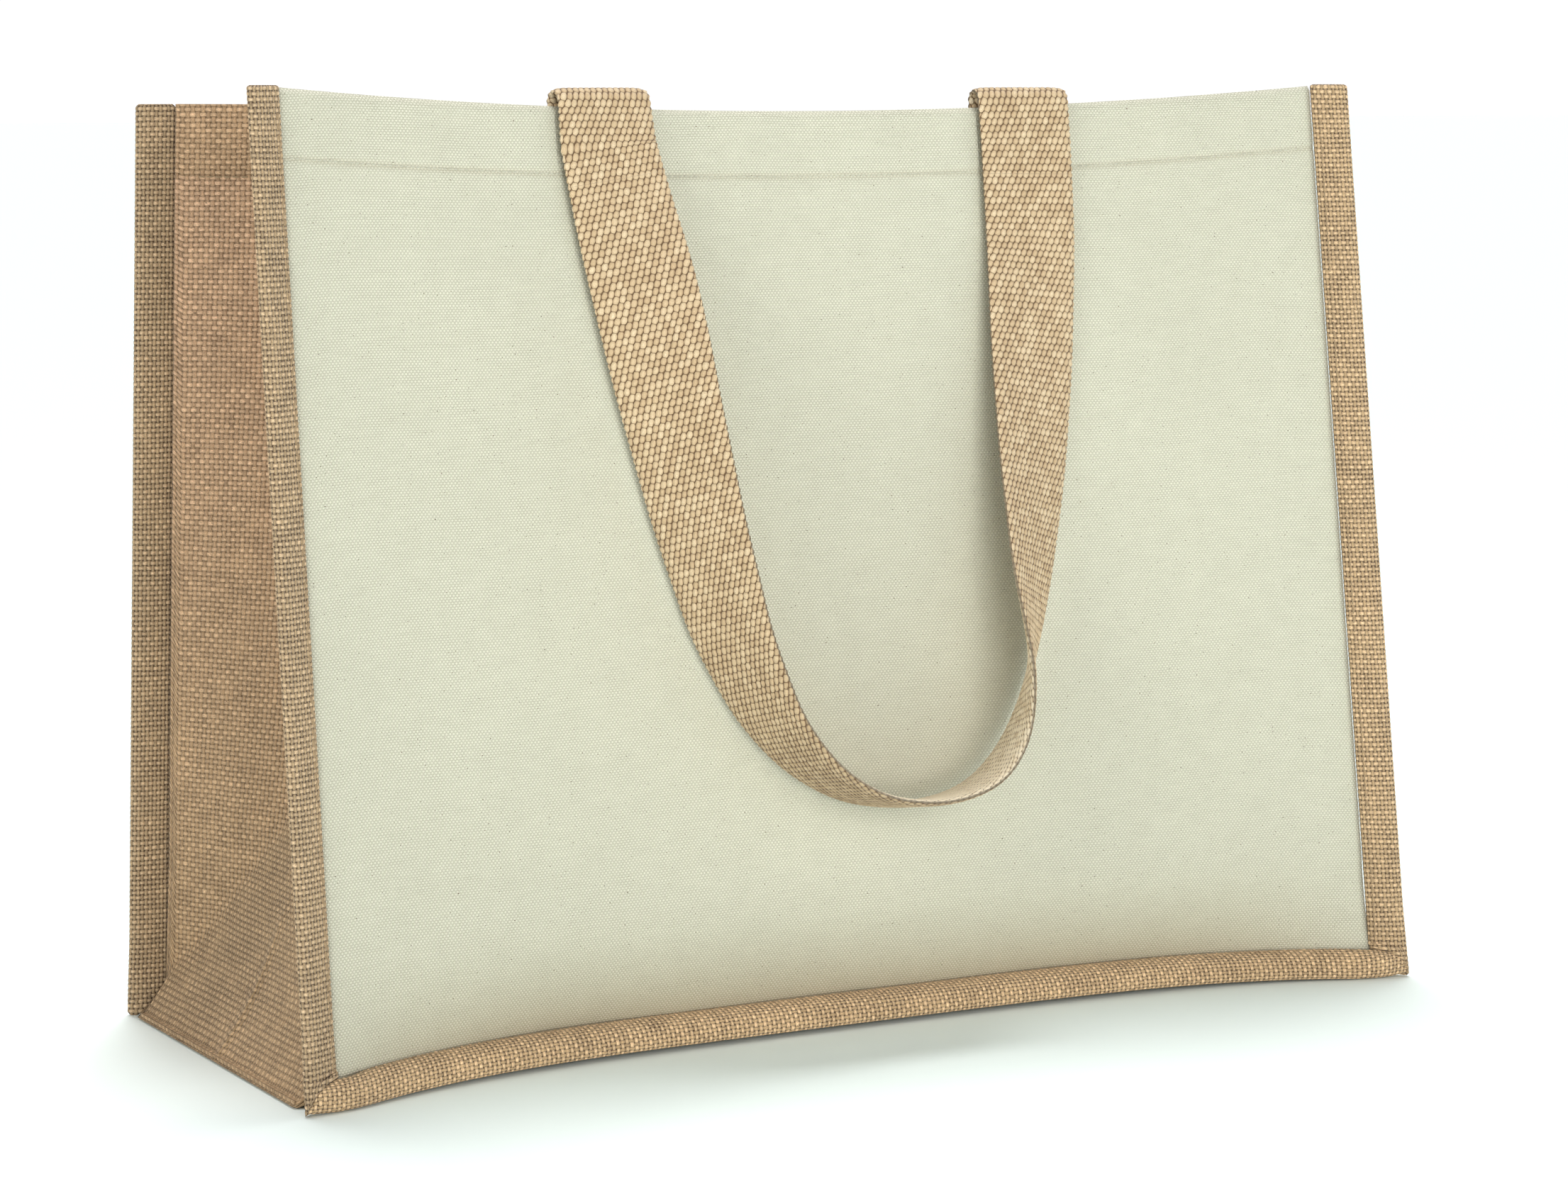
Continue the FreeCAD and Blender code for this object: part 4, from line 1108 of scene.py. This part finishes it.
def makeFloor():
    half = studio["floorHalf"]
    count = 41
    line = np.linspace(-half, half, count)
    grid = np.stack([*np.meshgrid(line, line, indexing="ij"), np.zeros((count, count))], -1)
    index = np.arange(count ** 2).reshape(count, count)
    quads = np.stack([index[:-1, :-1], index[1:, :-1], index[1:, 1:], index[:-1, 1:]], -1).reshape(-1, 4)
    uv = grid[..., :2].reshape(-1, 2)[quads]
    floor = meshFrom("studioFloor", grid.reshape(-1, 3), quads, uv)
    material, _, shader = newMaterial("paleFloor")
    shader.inputs["Base Color"].default_value = (*studio["floorColour"], 1)
    shader.inputs["Roughness"].default_value = 0.9
    shader.inputs["Specular IOR Level"].default_value = 0.1
    floor.data.materials.append(material)


def addLight(name, size, spread, power, place, aim, colour):
    data = bpy.data.lights.new(name, "AREA")
    data.shape, data.size, data.energy, data.color = "DISK", size, power, colour
    data.spread = math.radians(spread)
    lamp = bpy.data.objects.new(name, data)
    bpy.context.scene.collection.objects.link(lamp)
    lamp.location = place
    direction = np.array(aim) - np.array(place)
    lamp.rotation_euler = (math.acos(-direction[2] / np.linalg.norm(direction)), 0,
                           math.atan2(direction[1], direction[0]) - math.pi / 2)


makeFloor()
world = bpy.data.worlds.new("studioWorld")
bpy.context.scene.world = world
world.use_nodes = True
sky = world.node_tree
upward = addNode(sky, "SeparateXYZ", {0: addNode(sky, "TexCoord").outputs[0]}).outputs[2]
glowLow, glowHigh = studio["glowBand"]
glow = addNode(sky, "MapRange", {0: upward, 1: glowLow, 2: glowHigh, 3: studio["horizon"], 4: studio["zenith"]})
sky.links.new(glow.outputs[0], sky.nodes["Background"].inputs["Strength"])
sky.nodes["Background"].inputs["Color"].default_value = (1, 1, 1, 1)
sunData = bpy.data.lights.new("overheadLight", "SUN")
sunData.energy, sunData.angle = studio["sun"], math.radians(studio["sunSpread"])
sun = bpy.data.objects.new("overheadLight", sunData)
bpy.context.scene.collection.objects.link(sun)
sun.rotation_euler = [math.radians(angle) for angle in studio["sunTilt"]]
for name, light in studio["lights"].items():
    addLight(name, **light)
bpy.context.scene.view_settings.view_transform = "Standard"

view = {
    "place": (-0.737, -1.3538, 0.347),
    "yaw": 28.7,      # to the right of straight ahead
    "pitch": 7.17,    # downward
    "lens": 94.3,
    "sensor": 36.0,
}
cameraData = bpy.data.cameras.new("viewCamera")
cameraData.lens, cameraData.sensor_width = view["lens"], view["sensor"]
cameraData.clip_end = 40
camera = bpy.data.objects.new("viewCamera", cameraData)
bpy.context.scene.collection.objects.link(camera)
camera.location = view["place"]
camera.rotation_euler = (math.radians(90 - view["pitch"]), 0, math.radians(-view["yaw"]))
bpy.context.scene.camera = camera
print("floor, light and camera set")
